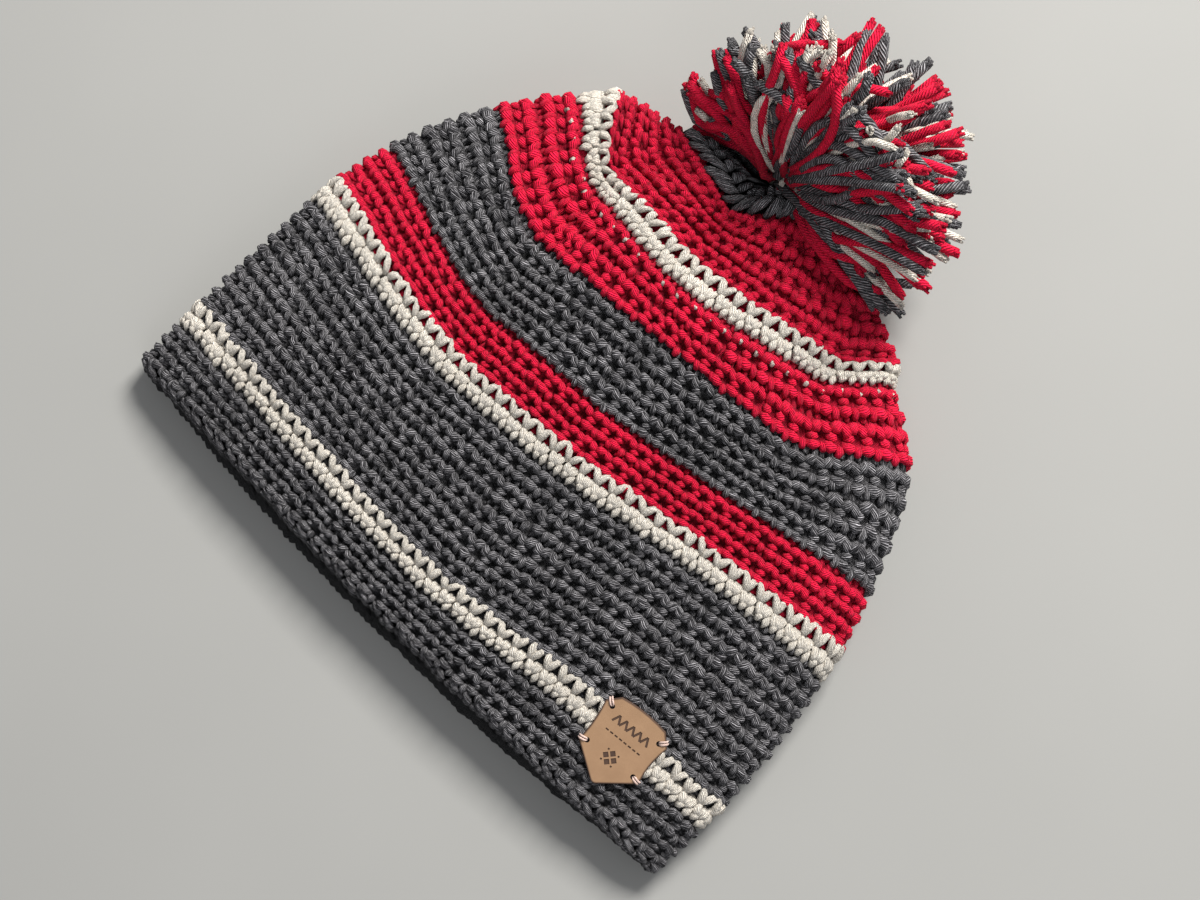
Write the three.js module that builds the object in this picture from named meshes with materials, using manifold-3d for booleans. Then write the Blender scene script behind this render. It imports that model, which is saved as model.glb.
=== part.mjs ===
// A crocheted beanie with a yarn pompom, lying on its back with its crown folded to one end.
// Millimetres. X runs along the hem, Y from the hem to the crown, Z up from the surface it lies on.
// The origin is on the flat underside, below the middle of the widest charcoal band.
import * as THREE from 'three';
import { mergeVertices } from 'three/addons/utils/BufferGeometryUtils.js';
import Module from 'manifold-3d';

// The cloth
const CHAIN = 0.35; // the hem's edge chain, as a share of a rib of two crocheted rounds
const WALL = 4.8; // thickness of the cloth between its grooves
const RIB_RISE = 1.0; // how far a rib stands out of the grooves beside it
const BAND_GAP = 0.45; // gap between neighbouring bands, a little less in the creases
const AROUND = 40; // points on a ring of cloth
const LOOP_STEPS = 240; // fine steps on half a ring, before it is divided
const TURN_WEIGHT = 45; // a turn of one radian counts as this much length when it is divided
const FRONT_ROUNDNESS = 3; // exponent of the front's curve over to the side folds
const BACK_ROUNDNESS = 5; // the same for the back, which lies flatter
const BACK_FLAT = 1.04; // over 1, so that most of the back lies at its lowest height
const CREASE_WIDTH = 9; // from the bottom of a crease to where it is a third as deep
const RIB_FADE = 4; // height over the surface at which a rib stands out in full
const LEAN_FROM = 15.3; // from this rib on, the wall turns inwards to the crown
const LEAN_RIBS = 2.5;
const ALONG_STEP = 0.1; // in ribs, to find the direction along the wall
const INNER_SPAN = 1.7; // ribs between two rings of the inner face, at most

// The origin's place, measured from the middle of the hem
const ORIGIN_Y = 55;

// The gather that closes the crown
const GATHER_FROM = 20.35; // in ribs from the hem
const GATHER_RISE = 4.5;
const GATHER_NORMAL = new THREE.Vector3(0, 0.58, 0.81);

// The pompom
const POMPOM_CENTRE = new THREE.Vector3(3, 140, 41);
const POMPOM_FLATNESS = 0.84; // its height, as a share of its width
const POMPOM_FRONT = new THREE.Vector3(-2, 132, 38); // where its front stands behind the gather
const POMPOM_FRONT_LEAN = THREE.MathUtils.degToRad(34); // the front leans back from the crown
const POMPOM_FRONT_TURN = THREE.MathUtils.degToRad(-3);
const CORE_RADIUS = 45.5;
const LOCK_COUNT = 60;
const LOCK_SIDES = 5;
const LOCK_REACH = 54; // from the centre to the longest tips
const LOCK_REACH_SPREAD = 3;
const LOCK_UNEVENNESS = 5.1; // radians of the wave that makes locks longer or shorter, per lock
const LOCK_ROOT = 36; // where a lock starts inside the core
const LOCK_ROOT_RADIUS = 10.5;
const LOCK_TIP_RADIUS = 4.8;
const FRONT_LOCK_COUNT = 13; // on the front they lie flat, in a fan from the gather
const FRONT_LOCK_FAN = THREE.MathUtils.degToRad(200);
const FRONT_LOCK_REACH = 51;
const FRONT_LOCK_REACH_SPREAD = 4;
const FRONT_LOCK_UNEVENNESS = 2.3;
const FRONT_LOCK_ROOT_RADIUS = 3;
const FRONT_LOCK_TIP_RADIUS = 7;
const POMPOM_CLEARANCE = 0.4; // between the pompom and the tops of the ribs under it
const POMPOM_OVER = [11, 12.5, 14, 15.2, 16.35, 17.35, 18.1, 18.6, 19.1, 19.6, 20.1]; // ribs under it

// The leather label
const LABEL_THICKNESS = 1.6;
const LABEL_CENTRE = new THREE.Vector2(84.5, -33.5);
const LABEL_HOLES = [[-9.6, 9.1], [9.4, 9.1], [9.6, -4.3], [-9.2, -4.3]];
const LABEL_TURN = THREE.MathUtils.degToRad(6);
const LABEL_HOLE_RADIUS = 0.9;
const LABEL_HOLE_SIDES = 10;
const LABEL_CLEARANCE = 0.6; // over the highest ring under it, so that it clears the facets too
const LABEL_REACH = 13; // from its centre to its edges, about

// Outline of each section, from the left side fold over the front to the right one.
// A and B are the two creases of the folded crown, middle is between them.
const OUTLINE_COLUMNS = [
  'ribs', 'leftX', 'leftY', 'creaseAX', 'creaseAY', 'middleX', 'middleY',
  'creaseBX', 'creaseBY', 'rightX', 'rightY',
];
const OUTLINE_ROWS = [
  [0.00, -119.0, -1.5, -40, -3.5, 0, -4.0, 54, -2.5, 120.5, 1.5],
  [3.35, -118.5, 27.5, -40, 21.5, -2, 20.5, 59, 27.5, 121.0, 32.5],
  [8.35, -117.5, 79.5, -40, 66.5, -4, 68.0, 64, 78.5, 115.5, 84.5],
  [11.35, -111.5, 110.0, -45, 92.0, -4, 94.0, 62, 104.5, 106.5, 115.0],
  [14.35, -95.5, 145.0, -50, 120.5, -6, 123.0, 55, 130.5, 87.5, 153.5],
  [16.35, -78.0, 167.5, -51, 147.0, -12, 141.5, 47, 152.5, 65.5, 169.0],
  [17.35, -69.5, 176.5, -51, 154.5, -12, 151.0, 47, 161.0, 61.5, 174.0],
  [20.35, -42.0, 180.0, -32, 178.5, -14, 173.5, 4, 184.0, 26.0, 188.5],
];

// Heights of each section, how far its back lies beyond its folds, and the depth of its creases.
const HEIGHT_COLUMNS = [
  'ribs', 'back', 'fold', 'top', 'low', 'creaseADepth', 'middleDepth', 'creaseBDepth',
];
const HEIGHT_ROWS = [
  [0.00, -7, 8.0, 17, 0, 0.0, 0.0, 0.0],
  [3.35, -5, 10.0, 23, 0, 0.5, 0.0, 0.0],
  [8.35, -2, 11.5, 29, 0, 3.0, 0.0, 0.0],
  [11.35, -1, 12.5, 31, 0, 6.0, 0.0, 1.0],
  [14.35, -1, 13.5, 33, 0, 8.0, 0.5, 3.5],
  [16.35, 0, 15.0, 34, 0, 9.0, 2.0, 5.0],
  [17.35, 2, 17.0, 34, 1, 9.0, 3.5, 5.0],
  [20.35, 12, 24.0, 34, 16, 2.0, 5.0, 1.0],
];

const YARN = {
  charcoal: { color: 0x45454b, roughness: 0.95, metalness: 0 },
  red: { color: 0xb20a24, roughness: 0.9, metalness: 0 },
  cream: { color: 0xeae1d3, roughness: 0.9, metalness: 0 },
  mixed: { color: 0x8f1c2b, roughness: 0.95, metalness: 0 },
  leather: { color: 0xb48d69, roughness: 0.6, metalness: 0 },
};

// The bands from the hem to the crown, in ribs
const BANDS = [
  { name: 'hem_band', from: 0, to: 2.35, yarn: 'charcoal' },
  { name: 'cream_stripe_low', from: 2.35, to: 3.35, yarn: 'cream' },
  { name: 'charcoal_band', from: 3.35, to: 8.35, yarn: 'charcoal' },
  { name: 'cream_stripe_middle', from: 8.35, to: 9.35, yarn: 'cream' },
  { name: 'red_band_low', from: 9.35, to: 11.35, yarn: 'red' },
  { name: 'charcoal_band_high', from: 11.35, to: 14.35, yarn: 'charcoal' },
  { name: 'red_band_high', from: 14.35, to: 16.35, yarn: 'red' },
  { name: 'cream_stripe_high', from: 16.35, to: 17.35, yarn: 'cream' },
  { name: 'crown_red', from: 17.35, to: GATHER_FROM, yarn: 'red' },
];

const wasm = await Module();
wasm.setup();

function table(columns, rows) {
  return rows.map((row) => Object.fromEntries(columns.map((column, i) => [column, row[i]])));
}

const OUTLINE = table(OUTLINE_COLUMNS, OUTLINE_ROWS);
const HEIGHTS = table(HEIGHT_COLUMNS, HEIGHT_ROWS);

// A smooth line through points that never swings past them, at one place
function smoothAt(xs, ys, at) {
  const last = xs.length - 1;
  const x = Math.min(Math.max(at, xs[0]), xs[last]);
  const slope = (i) => (ys[i + 1] - ys[i]) / (xs[i + 1] - xs[i]);
  const tangent = (i) => {
    if (i === 0) return slope(0);
    if (i === last) return slope(last - 1);
    const before = slope(i - 1);
    const after = slope(i);
    if (before * after <= 0) return 0;
    const weightBefore = 2 * (xs[i + 1] - xs[i]) + (xs[i] - xs[i - 1]);
    const weightAfter = (xs[i + 1] - xs[i]) + 2 * (xs[i] - xs[i - 1]);
    return (weightBefore + weightAfter) / (weightBefore / before + weightAfter / after);
  };
  let i = 0;
  while (i < last - 1 && x > xs[i + 1]) i += 1;
  const step = xs[i + 1] - xs[i];
  const t = (x - xs[i]) / step;
  const start = (1 + 2 * t) * (1 - t) ** 2 * ys[i] + t * (1 - t) ** 2 * step * tangent(i);
  const end = t * t * (3 - 2 * t) * ys[i + 1] + t * t * (t - 1) * step * tangent(i + 1);
  return start + end;
}

function section(ribs) {
  const values = {};
  for (const rows of [OUTLINE, HEIGHTS]) {
    const places = rows.map((row) => row.ribs);
    for (const column of Object.keys(rows[0])) {
      values[column] = smoothAt(places, rows.map((row) => row[column]), ribs);
    }
  }
  return values;
}

// One ring of the cloth as a fine closed loop: over the front from left to right, back below.
// A positive inset moves it into the hat, for the inner face, and a negative one out of it.
function fineLoop(ribs, inset) {
  const s = section(ribs);
  const middleX = (s.leftX + s.rightX) / 2;
  const halfWidth = (s.rightX - s.leftX) / 2;
  const innerHalf = halfWidth - inset;
  const lean = THREE.MathUtils.smoothstep(ribs, LEAN_FROM, LEAN_FROM + LEAN_RIBS) * inset;
  const frontX = [s.leftX, s.creaseAX, s.middleX, s.creaseBX, s.rightX];
  const frontY = [s.leftY, s.creaseAY, s.middleY, s.creaseBY, s.rightY];
  const creases = [
    { x: s.creaseAX, depth: s.creaseADepth },
    { x: s.middleX, depth: s.middleDepth },
    { x: s.creaseBX, depth: s.creaseBDepth },
  ];
  const loop = [];
  for (let i = 0; i < LOOP_STEPS; i += 1) {
    const angle = Math.PI * (1 - i / LOOP_STEPS);
    const across = Math.sign(Math.cos(angle)) * Math.abs(Math.cos(angle)) ** (2 / FRONT_ROUNDNESS);
    const dome = Math.sin(angle) ** (2 / FRONT_ROUNDNESS);
    const x = middleX + innerHalf * across;
    const y = smoothAt(frontX, frontY, middleX + halfWidth * across) - lean;
    let z = s.fold + (s.top - inset - s.fold) * dome;
    for (const { x: at, depth } of creases) {
      z -= depth * Math.exp(-(((x - at) / CREASE_WIDTH) ** 2)) * dome;
    }
    loop.push(new THREE.Vector3(x, y - ORIGIN_Y, z));
  }
  for (let i = 0; i < LOOP_STEPS; i += 1) {
    const angle = (Math.PI * i) / LOOP_STEPS;
    const across = Math.sign(Math.cos(angle)) * Math.abs(Math.cos(angle)) ** (2 / BACK_ROUNDNESS);
    const drop = Math.min(1, BACK_FLAT * Math.sin(angle) ** (2 / BACK_ROUNDNESS));
    const x = middleX + innerHalf * across;
    const side = (across + 1) / 2;
    const y = s.leftY + (s.rightY - s.leftY) * side + s.back * (1 - across * across) - lean;
    const z = s.fold - (s.fold - s.low - inset) * drop;
    loop.push(new THREE.Vector3(x, y - ORIGIN_Y, z));
  }
  return loop;
}

// The same loop in fewer points, closer together where it turns, so that the folds stay round
function ring(ribs, inset) {
  const loop = fineLoop(ribs, inset);
  const point = (i) => loop[(i + loop.length) % loop.length];
  const lengths = [0];
  for (let i = 1; i <= loop.length; i += 1) {
    const step = point(i).clone().sub(point(i - 1));
    const stepBefore = point(i - 1).clone().sub(point(i - 2));
    lengths.push(lengths[i - 1] + step.length() + TURN_WEIGHT * step.angleTo(stepBefore));
  }
  const total = lengths[loop.length];
  const points = [];
  let i = 0;
  for (let k = 0; k < AROUND; k += 1) {
    const at = (total * k) / AROUND;
    while (lengths[i + 1] < at) i += 1;
    const t = (at - lengths[i]) / (lengths[i + 1] - lengths[i]);
    points.push(new THREE.Vector3().lerpVectors(loop[i], loop[(i + 1) % loop.length], t));
  }
  return points;
}

// The ring where a band ends, moved half a gap towards the hem (side -1) or the crown (side 1)
function edgeRing(ribs, inset, side) {
  const before = ring(ribs - ALONG_STEP, inset);
  const points = ring(ribs, inset);
  return points.map((point, k) => {
    const around = points[(k + 1) % AROUND].clone().sub(points[(k + AROUND - 1) % AROUND]).normalize();
    const along = point.clone().sub(before[k]);
    along.addScaledVector(around, -along.dot(around)).normalize();
    return point.clone().addScaledVector(along, (side * BAND_GAP) / 2);
  });
}

// How far the cloth stands out at one place between two grooves
function ribRise(ribs) {
  const place = ribs < CHAIN ? ribs / CHAIN : (ribs - CHAIN) % 1;
  return RIB_RISE * Math.min(1, 4 * place, 4 * (1 - place));
}

// A ring of the outer face with its rib, which fades out where the hat lies on the surface
function outerRing(ribs) {
  const points = ring(ribs, 0);
  const rise = ribRise(ribs);
  if (rise < 1e-6) return points;
  const nextRing = ring(ribs + ALONG_STEP, 0);
  return points.map((point, k) => {
    const around = points[(k + 1) % AROUND].clone().sub(points[(k + AROUND - 1) % AROUND]);
    const along = nextRing[k].clone().sub(point);
    const outwards = along.cross(around).normalize();
    const shown = Math.min(1, Math.max(0, point.z / RIB_FADE));
    return point.clone().addScaledVector(outwards, rise * shown);
  });
}

// A closed solid from rings with the same number of points. Its two ends close in a point each,
// or the last ring joins the first one, as on a hollow band. That last strip is split along the
// other diagonal, so that two bands meet in faces that run parallel.
function ringSolid(rings, tips) {
  const positions = rings.flat().flatMap((point) => point.toArray());
  const count = rings[0].length;
  const faces = [];
  const spans = tips ? rings.length - 1 : rings.length;
  for (let row = 0; row < spans; row += 1) {
    const next = (row + 1) % rings.length;
    for (let k = 0; k < count; k += 1) {
      const a = row * count + k;
      const b = row * count + ((k + 1) % count);
      const c = next * count + ((k + 1) % count);
      const d = next * count + k;
      if (next > row) faces.push(a, b, c, a, c, d);
      else faces.push(a, b, d, b, c, d);
    }
  }
  if (tips) {
    const first = positions.length / 3;
    positions.push(...tips[0].toArray(), ...tips[1].toArray());
    const lastRow = (rings.length - 1) * count;
    for (let k = 0; k < count; k += 1) {
      const next = (k + 1) % count;
      faces.push(first, next, k);
      faces.push(first + 1, lastRow + k, lastRow + next);
    }
  }
  const geometry = new THREE.BufferGeometry();
  geometry.setAttribute('position', new THREE.Float32BufferAttribute(positions, 3));
  geometry.setIndex(faces);
  if (enclosedVolume(geometry) < 0) {
    for (let i = 0; i < faces.length; i += 3) {
      [faces[i], faces[i + 1]] = [faces[i + 1], faces[i]];
    }
    geometry.setIndex(faces);
  }
  return geometry;
}

function enclosedVolume(geometry) {
  const position = geometry.getAttribute('position');
  const index = geometry.getIndex();
  const corners = [new THREE.Vector3(), new THREE.Vector3(), new THREE.Vector3()];
  let volume = 0;
  for (let i = 0; i < index.count; i += 3) {
    corners.forEach((corner, j) => corner.fromBufferAttribute(position, index.getX(i + j)));
    volume += corners[0].dot(corners[1].clone().cross(corners[2])) / 6;
  }
  return volume;
}

// The places of a band's outer rings between its edges: each groove and the shoulders of each rib
function outerPlaces(from, to) {
  const places = from === 0 ? [CHAIN * 0.25, CHAIN * 0.75, CHAIN] : [];
  for (let groove = Math.max(from, CHAIN); groove < to - 0.5; groove += 1) {
    if (groove > from && groove > CHAIN) places.push(groove);
    places.push(groove + 0.25, groove + 0.75);
  }
  return places;
}

// The inner face is plain, so a ring for every two ribs or so is enough
function innerPlaces(from, to) {
  const spans = Math.ceil((to - from) / INNER_SPAN);
  const places = [];
  for (let i = 1; i < spans; i += 1) places.push(from + ((to - from) * i) / spans);
  return places;
}

function bandGeometry({ from, to }) {
  const start = (inset) => (from === 0 ? ring(0, inset) : edgeRing(from, inset, 1));
  const inner = innerPlaces(from, to).map((ribs) => ring(ribs, WALL));
  return ringSolid([
    start(0), ...outerPlaces(from, to).map(outerRing), edgeRing(to, 0, -1),
    edgeRing(to, WALL, -1), ...inner.reverse(), start(WALL),
  ], null);
}

function centreOf(points) {
  const sum = points.reduce((total, point) => total.add(point), new THREE.Vector3());
  return sum.divideScalar(points.length);
}

// The gather's rounds between the crown's last ring and the middle, bulging along its normal
const GATHER_RINGS = [
  { share: 0, rise: 0 },
  { share: 0.22, rise: 0.5 },
  { share: 0.55, rise: 0.85 },
  { share: 0.8, rise: 0.97 },
];

function gatherRings(edge, rise) {
  const middle = centreOf(edge);
  return GATHER_RINGS.map((step) => edge.map((point) => new THREE.Vector3()
    .lerpVectors(point, middle, step.share)
    .addScaledVector(GATHER_NORMAL, rise * step.rise)));
}

function gatherGeometry() {
  const outerEdge = edgeRing(GATHER_FROM, 0, 2);
  const innerEdge = edgeRing(GATHER_FROM, WALL, 2);
  const outer = gatherRings(outerEdge, GATHER_RISE);
  const outerTip = centreOf(outerEdge).addScaledVector(GATHER_NORMAL, GATHER_RISE);
  const innerTip = centreOf(innerEdge).addScaledVector(GATHER_NORMAL, GATHER_RISE - WALL);
  return ringSolid([...outer.reverse(), innerEdge], [outerTip, innerTip]);
}

function toSolid(geometry) {
  const bare = new THREE.BufferGeometry();
  bare.setAttribute('position', geometry.getAttribute('position').clone());
  if (geometry.getIndex()) bare.setIndex(geometry.getIndex().clone());
  const merged = mergeVertices(bare, 1e-4);
  return new wasm.Manifold(new wasm.Mesh({
    numProp: 3,
    vertProperties: new Float32Array(merged.getAttribute('position').array),
    triVerts: new Uint32Array(merged.getIndex().array),
  }));
}

function fromSolid(solid) {
  const mesh = solid.getMesh();
  const geometry = new THREE.BufferGeometry();
  geometry.setAttribute('position', new THREE.BufferAttribute(new Float32Array(mesh.vertProperties), 3));
  geometry.setIndex(new THREE.BufferAttribute(new Uint32Array(mesh.triVerts), 1));
  return geometry;
}

// The crown's outside, grown by a little, which the pompom keeps clear of
function crownEnvelope() {
  const grow = -(RIB_RISE + POMPOM_CLEARANCE);
  const rings = POMPOM_OVER.map((ribs) => ring(ribs, grow));
  const edge = ring(GATHER_FROM, grow);
  const rise = GATHER_RISE + POMPOM_CLEARANCE;
  const tips = [centreOf(rings[0]), centreOf(edge).addScaledVector(GATHER_NORMAL, rise)];
  return toSolid(ringSolid([...rings, ...gatherRings(edge, rise)], tips));
}

// Locks of yarn stand out of the core evenly all round, each a little longer or shorter
function lockGeometry(i) {
  const height = 1 - (2 * (i + 0.5)) / LOCK_COUNT;
  const angle = i * Math.PI * (3 - Math.sqrt(5));
  const level = Math.sqrt(1 - height * height);
  const direction = new THREE.Vector3(level * Math.cos(angle), level * Math.sin(angle), height);
  const wave = 0.5 + 0.5 * Math.sin(i * LOCK_UNEVENNESS);
  const reach = LOCK_REACH - LOCK_REACH_SPREAD * wave;
  const length = reach - LOCK_ROOT;
  const geometry = new THREE.CylinderGeometry(LOCK_TIP_RADIUS, LOCK_ROOT_RADIUS, length, LOCK_SIDES);
  geometry.translate(0, LOCK_ROOT + length / 2, 0);
  const turn = new THREE.Quaternion().setFromUnitVectors(new THREE.Vector3(0, 1, 0), direction);
  return geometry.applyQuaternion(turn);
}

// From upright, in front of the middle of the gather, to the pompom's leaning front
function placeOnFront(geometry) {
  return geometry.rotateX(-POMPOM_FRONT_LEAN)
    .rotateZ(POMPOM_FRONT_TURN)
    .translate(...POMPOM_FRONT.toArray());
}

function frontLockGeometry(i) {
  const angle = FRONT_LOCK_FAN * (i / (FRONT_LOCK_COUNT - 1) - 0.5);
  const wave = 0.5 + 0.5 * Math.sin(i * FRONT_LOCK_UNEVENNESS);
  const reach = FRONT_LOCK_REACH - FRONT_LOCK_REACH_SPREAD * wave;
  const sizes = [FRONT_LOCK_TIP_RADIUS, FRONT_LOCK_ROOT_RADIUS, reach];
  const geometry = new THREE.CylinderGeometry(...sizes, LOCK_SIDES);
  return placeOnFront(geometry.translate(0, reach / 2, 0).rotateX(Math.PI / 2).rotateY(angle));
}

function pompomGeometry() {
  let ball = toSolid(new THREE.IcosahedronGeometry(CORE_RADIUS, 3));
  for (let i = 0; i < LOCK_COUNT; i += 1) ball = ball.add(toSolid(lockGeometry(i)));
  const { x, y, z } = POMPOM_CENTRE;
  const size = 3 * LOCK_REACH;
  const frontBlock = new THREE.BoxGeometry(size, size, 2 * size).translate(0, size / 2, 0);
  const behindFront = placeOnFront(frontBlock);
  let solid = ball.scale([1, 1, POMPOM_FLATNESS]).translate([x, y, z]).intersect(toSolid(behindFront));
  for (let i = 0; i < FRONT_LOCK_COUNT; i += 1) solid = solid.add(toSolid(frontLockGeometry(i)));
  const aboveSurface = new THREE.BoxGeometry(size, size, size).translate(x, y, size / 2);
  const bodies = solid.intersect(toSolid(aboveSurface)).subtract(crownEnvelope()).decompose();
  // A tip that the crown cuts off is left out
  return fromSolid(bodies.reduce((most, body) => (body.volume() > most.volume() ? body : most)));
}

function labelShape() {
  const shape = new THREE.Shape();
  shape.moveTo(8.8, 13.3);
  shape.quadraticCurveTo(0, 14.9, -8.8, 13.3);
  shape.lineTo(-12.5, 9.3);
  shape.quadraticCurveTo(-10.8, 2, -11.4, -5.8);
  shape.lineTo(-0.6, -13.5);
  shape.quadraticCurveTo(0.5, -14.2, 1.6, -13.5);
  shape.lineTo(11.4, -5.8);
  shape.lineTo(12.1, -3.5);
  shape.quadraticCurveTo(10.8, 2, 12.5, 9.3);
  for (const [holeX, holeY] of LABEL_HOLES) {
    const rim = [];
    for (let i = 0; i < LABEL_HOLE_SIDES; i += 1) {
      const angle = (-2 * Math.PI * i) / LABEL_HOLE_SIDES;
      const offset = new THREE.Vector2(Math.cos(angle), Math.sin(angle));
      rim.push(offset.multiplyScalar(LABEL_HOLE_RADIUS).add(new THREE.Vector2(holeX, holeY)));
    }
    shape.holes.push(new THREE.Path(rim));
  }
  return shape;
}

// The plane z = a + b x + c y that fits the cloth under the label, raised clear of its ribs
function labelSeat() {
  const points = [];
  const places = BANDS.slice(0, 3).flatMap(({ from, to }) => outerPlaces(from, to));
  for (const front of places.map((ribs) => outerRing(ribs).slice(0, AROUND / 2))) {
    for (let k = 1; k < front.length; k += 1) {
      for (let t = 0; t < 1; t += 1 / 8) {
        const point = new THREE.Vector3().lerpVectors(front[k - 1], front[k], t);
        const dx = point.x - LABEL_CENTRE.x;
        const dy = point.y - LABEL_CENTRE.y;
        if (Math.abs(dx) < LABEL_REACH && Math.abs(dy) < LABEL_REACH) {
          points.push({ dx, dy, z: point.z });
        }
      }
    }
  }
  const sum = (value) => points.reduce((total, point) => total + value(point), 0);
  const normal = new THREE.Matrix3().set(
    points.length, sum((p) => p.dx), sum((p) => p.dy),
    sum((p) => p.dx), sum((p) => p.dx ** 2), sum((p) => p.dx * p.dy),
    sum((p) => p.dy), sum((p) => p.dx * p.dy), sum((p) => p.dy ** 2),
  );
  const fit = new THREE.Vector3(sum((p) => p.z), sum((p) => p.z * p.dx), sum((p) => p.z * p.dy))
    .applyMatrix3(normal.invert());
  const highest = Math.max(...points.map((p) => p.z - (fit.x + fit.y * p.dx + fit.z * p.dy)));
  return { height: fit.x + highest + LABEL_CLEARANCE, slopeX: fit.y, slopeY: fit.z };
}

function yarnMaterial(name) {
  return new THREE.MeshStandardMaterial(YARN[name]);
}

const group = new THREE.Group();

for (const band of BANDS) {
  const mesh = new THREE.Mesh(bandGeometry(band), yarnMaterial(band.yarn));
  mesh.name = band.name;
  group.add(mesh);
}

const gather = new THREE.Mesh(gatherGeometry(), yarnMaterial('charcoal'));
gather.name = 'crown_gather';
group.add(gather);

const pompom = new THREE.Mesh(pompomGeometry(), yarnMaterial('mixed'));
pompom.name = 'pompom';
group.add(pompom);

const label = new THREE.Mesh(
  new THREE.ExtrudeGeometry(labelShape(), {
    depth: LABEL_THICKNESS,
    bevelEnabled: false,
    curveSegments: 5,
  }),
  yarnMaterial('leather'),
);
label.name = 'leather_label';
const seat = labelSeat();
const seatNormal = new THREE.Vector3(-seat.slopeX, -seat.slopeY, 1).normalize();
label.position.set(LABEL_CENTRE.x, LABEL_CENTRE.y, seat.height);
label.quaternion.setFromUnitVectors(new THREE.Vector3(0, 0, 1), seatNormal);
label.quaternion.multiply(new THREE.Quaternion().setFromAxisAngle(new THREE.Vector3(0, 0, 1), LABEL_TURN));
group.add(label);

export default group;
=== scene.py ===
# %% [markdown]
# A crocheted beanie with a yarn pompom lies flat on its back. Its cloth is a tube of stitches,
# worked in rounds from the hem to the crown in charcoal, cream and red yarn. Such cloth could
# be a smooth surface with a bump texture. Here it is made of lengths of yarn, because plump
# stitches and the holes between them show at every edge and in every light.
#
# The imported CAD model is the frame: it gives every place and size, in metres. Each of its
# nodes then gets a detailed piece in its place.

# %% Load the CAD model as the frame
import math
import bpy
import numpy as np
from mathutils import Matrix, Quaternion, Vector
from mathutils.kdtree import KDTree


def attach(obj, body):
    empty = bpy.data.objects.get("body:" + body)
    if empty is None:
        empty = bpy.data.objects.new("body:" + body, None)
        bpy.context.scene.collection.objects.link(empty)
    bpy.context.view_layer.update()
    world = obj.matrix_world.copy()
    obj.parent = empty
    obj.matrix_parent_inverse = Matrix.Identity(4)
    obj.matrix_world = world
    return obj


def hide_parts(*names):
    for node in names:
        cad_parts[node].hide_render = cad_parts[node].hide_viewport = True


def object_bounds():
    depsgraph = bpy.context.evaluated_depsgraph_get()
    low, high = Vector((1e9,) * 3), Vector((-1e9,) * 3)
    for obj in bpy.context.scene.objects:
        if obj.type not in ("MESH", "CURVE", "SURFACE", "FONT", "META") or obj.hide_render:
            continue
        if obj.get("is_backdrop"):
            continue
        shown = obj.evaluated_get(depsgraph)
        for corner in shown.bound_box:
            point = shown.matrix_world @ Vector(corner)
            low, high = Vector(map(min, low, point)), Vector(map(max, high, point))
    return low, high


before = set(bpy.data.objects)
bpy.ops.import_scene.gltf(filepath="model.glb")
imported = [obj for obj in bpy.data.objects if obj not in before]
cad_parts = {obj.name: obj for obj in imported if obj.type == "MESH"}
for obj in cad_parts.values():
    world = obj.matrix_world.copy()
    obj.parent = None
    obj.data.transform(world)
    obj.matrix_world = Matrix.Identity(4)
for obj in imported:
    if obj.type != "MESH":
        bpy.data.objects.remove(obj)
cad_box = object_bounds()
MM = 0.001
print("CAD nodes:", ", ".join(sorted(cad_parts)))

# %% [markdown]
# The camera looks down steeply from over the hem's right corner, so that the hem runs down the
# picture to the right. It could be placed by eye. A target, two angles and a distance say the
# same in numbers that can be measured and corrected. The lens follows from the picture's
# width, 396 mm where the hat lies.

# %% The camera
TARGET = Vector((11.8, 31.0, 15.0)) * MM
AZIMUTH, ELEVATION = math.radians(45), math.radians(80)
DISTANCE = 0.650
VIEW_WIDTH = 0.396
SENSOR_WIDTH = 36

to_camera = Vector((
    math.sin(AZIMUTH) * math.cos(ELEVATION),
    -math.cos(AZIMUTH) * math.cos(ELEVATION),
    math.sin(ELEVATION),
))
bpy.ops.object.camera_add(
    location=TARGET + to_camera * DISTANCE,
    rotation=(-to_camera).to_track_quat("-Z", "Y").to_euler(),
)
camera = bpy.context.object
camera.data.sensor_width = SENSOR_WIDTH
camera.data.lens = SENSOR_WIDTH * DISTANCE / VIEW_WIDTH
camera.data.clip_start, camera.data.clip_end = 0.05, 20
bpy.context.scene.camera = camera
print("lens", round(camera.data.lens, 1), "mm")

# %% [markdown]
# The light is soft, as from a window past the crown. A picture of a sky could light the hat,
# but the script uses no images. So one panel above the crown's side gives the form its
# shading, a weaker one from the other side keeps the grooves open, and a plain pale sky fills
# the rest.

# %% The light
SKY_COLOUR = (0.93, 0.95, 1.0)
SKY_STRENGTH = 0.42


def add_panel(name, place, size, power, colour):
    """A soft square light that looks at the hat, with its place and size in metres."""
    bpy.ops.object.light_add(type="AREA", location=place)
    panel = bpy.context.object
    panel.name = name
    panel.rotation_euler = (TARGET - Vector(place)).to_track_quat("-Z", "Y").to_euler()
    panel.data.size = size
    panel.data.energy = power
    panel.data.color = colour
    print(name, power, "W")


add_panel("window_light", (-0.15, 1.2, 1.2), size=0.6, power=60, colour=(1.0, 0.985, 0.96))
add_panel("fill_light", (1.3, -0.9, 1.2), size=1.2, power=9, colour=(0.95, 0.97, 1.0))
sky = bpy.data.worlds.new("pale_sky")
sky.use_nodes = True
background = sky.node_tree.nodes["Background"]
background.inputs["Color"].default_value = (*SKY_COLOUR, 1)
background.inputs["Strength"].default_value = SKY_STRENGTH
bpy.context.scene.world = sky
bpy.context.scene.view_settings.view_transform = "Standard"

# %% [markdown]
# Materials are networks of nodes. They could be written out node by node, but then their idea
# drowns in links. A few helpers add a node, link it and set its constants, so that each
# material below reads as a list of what it is made of.

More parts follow.
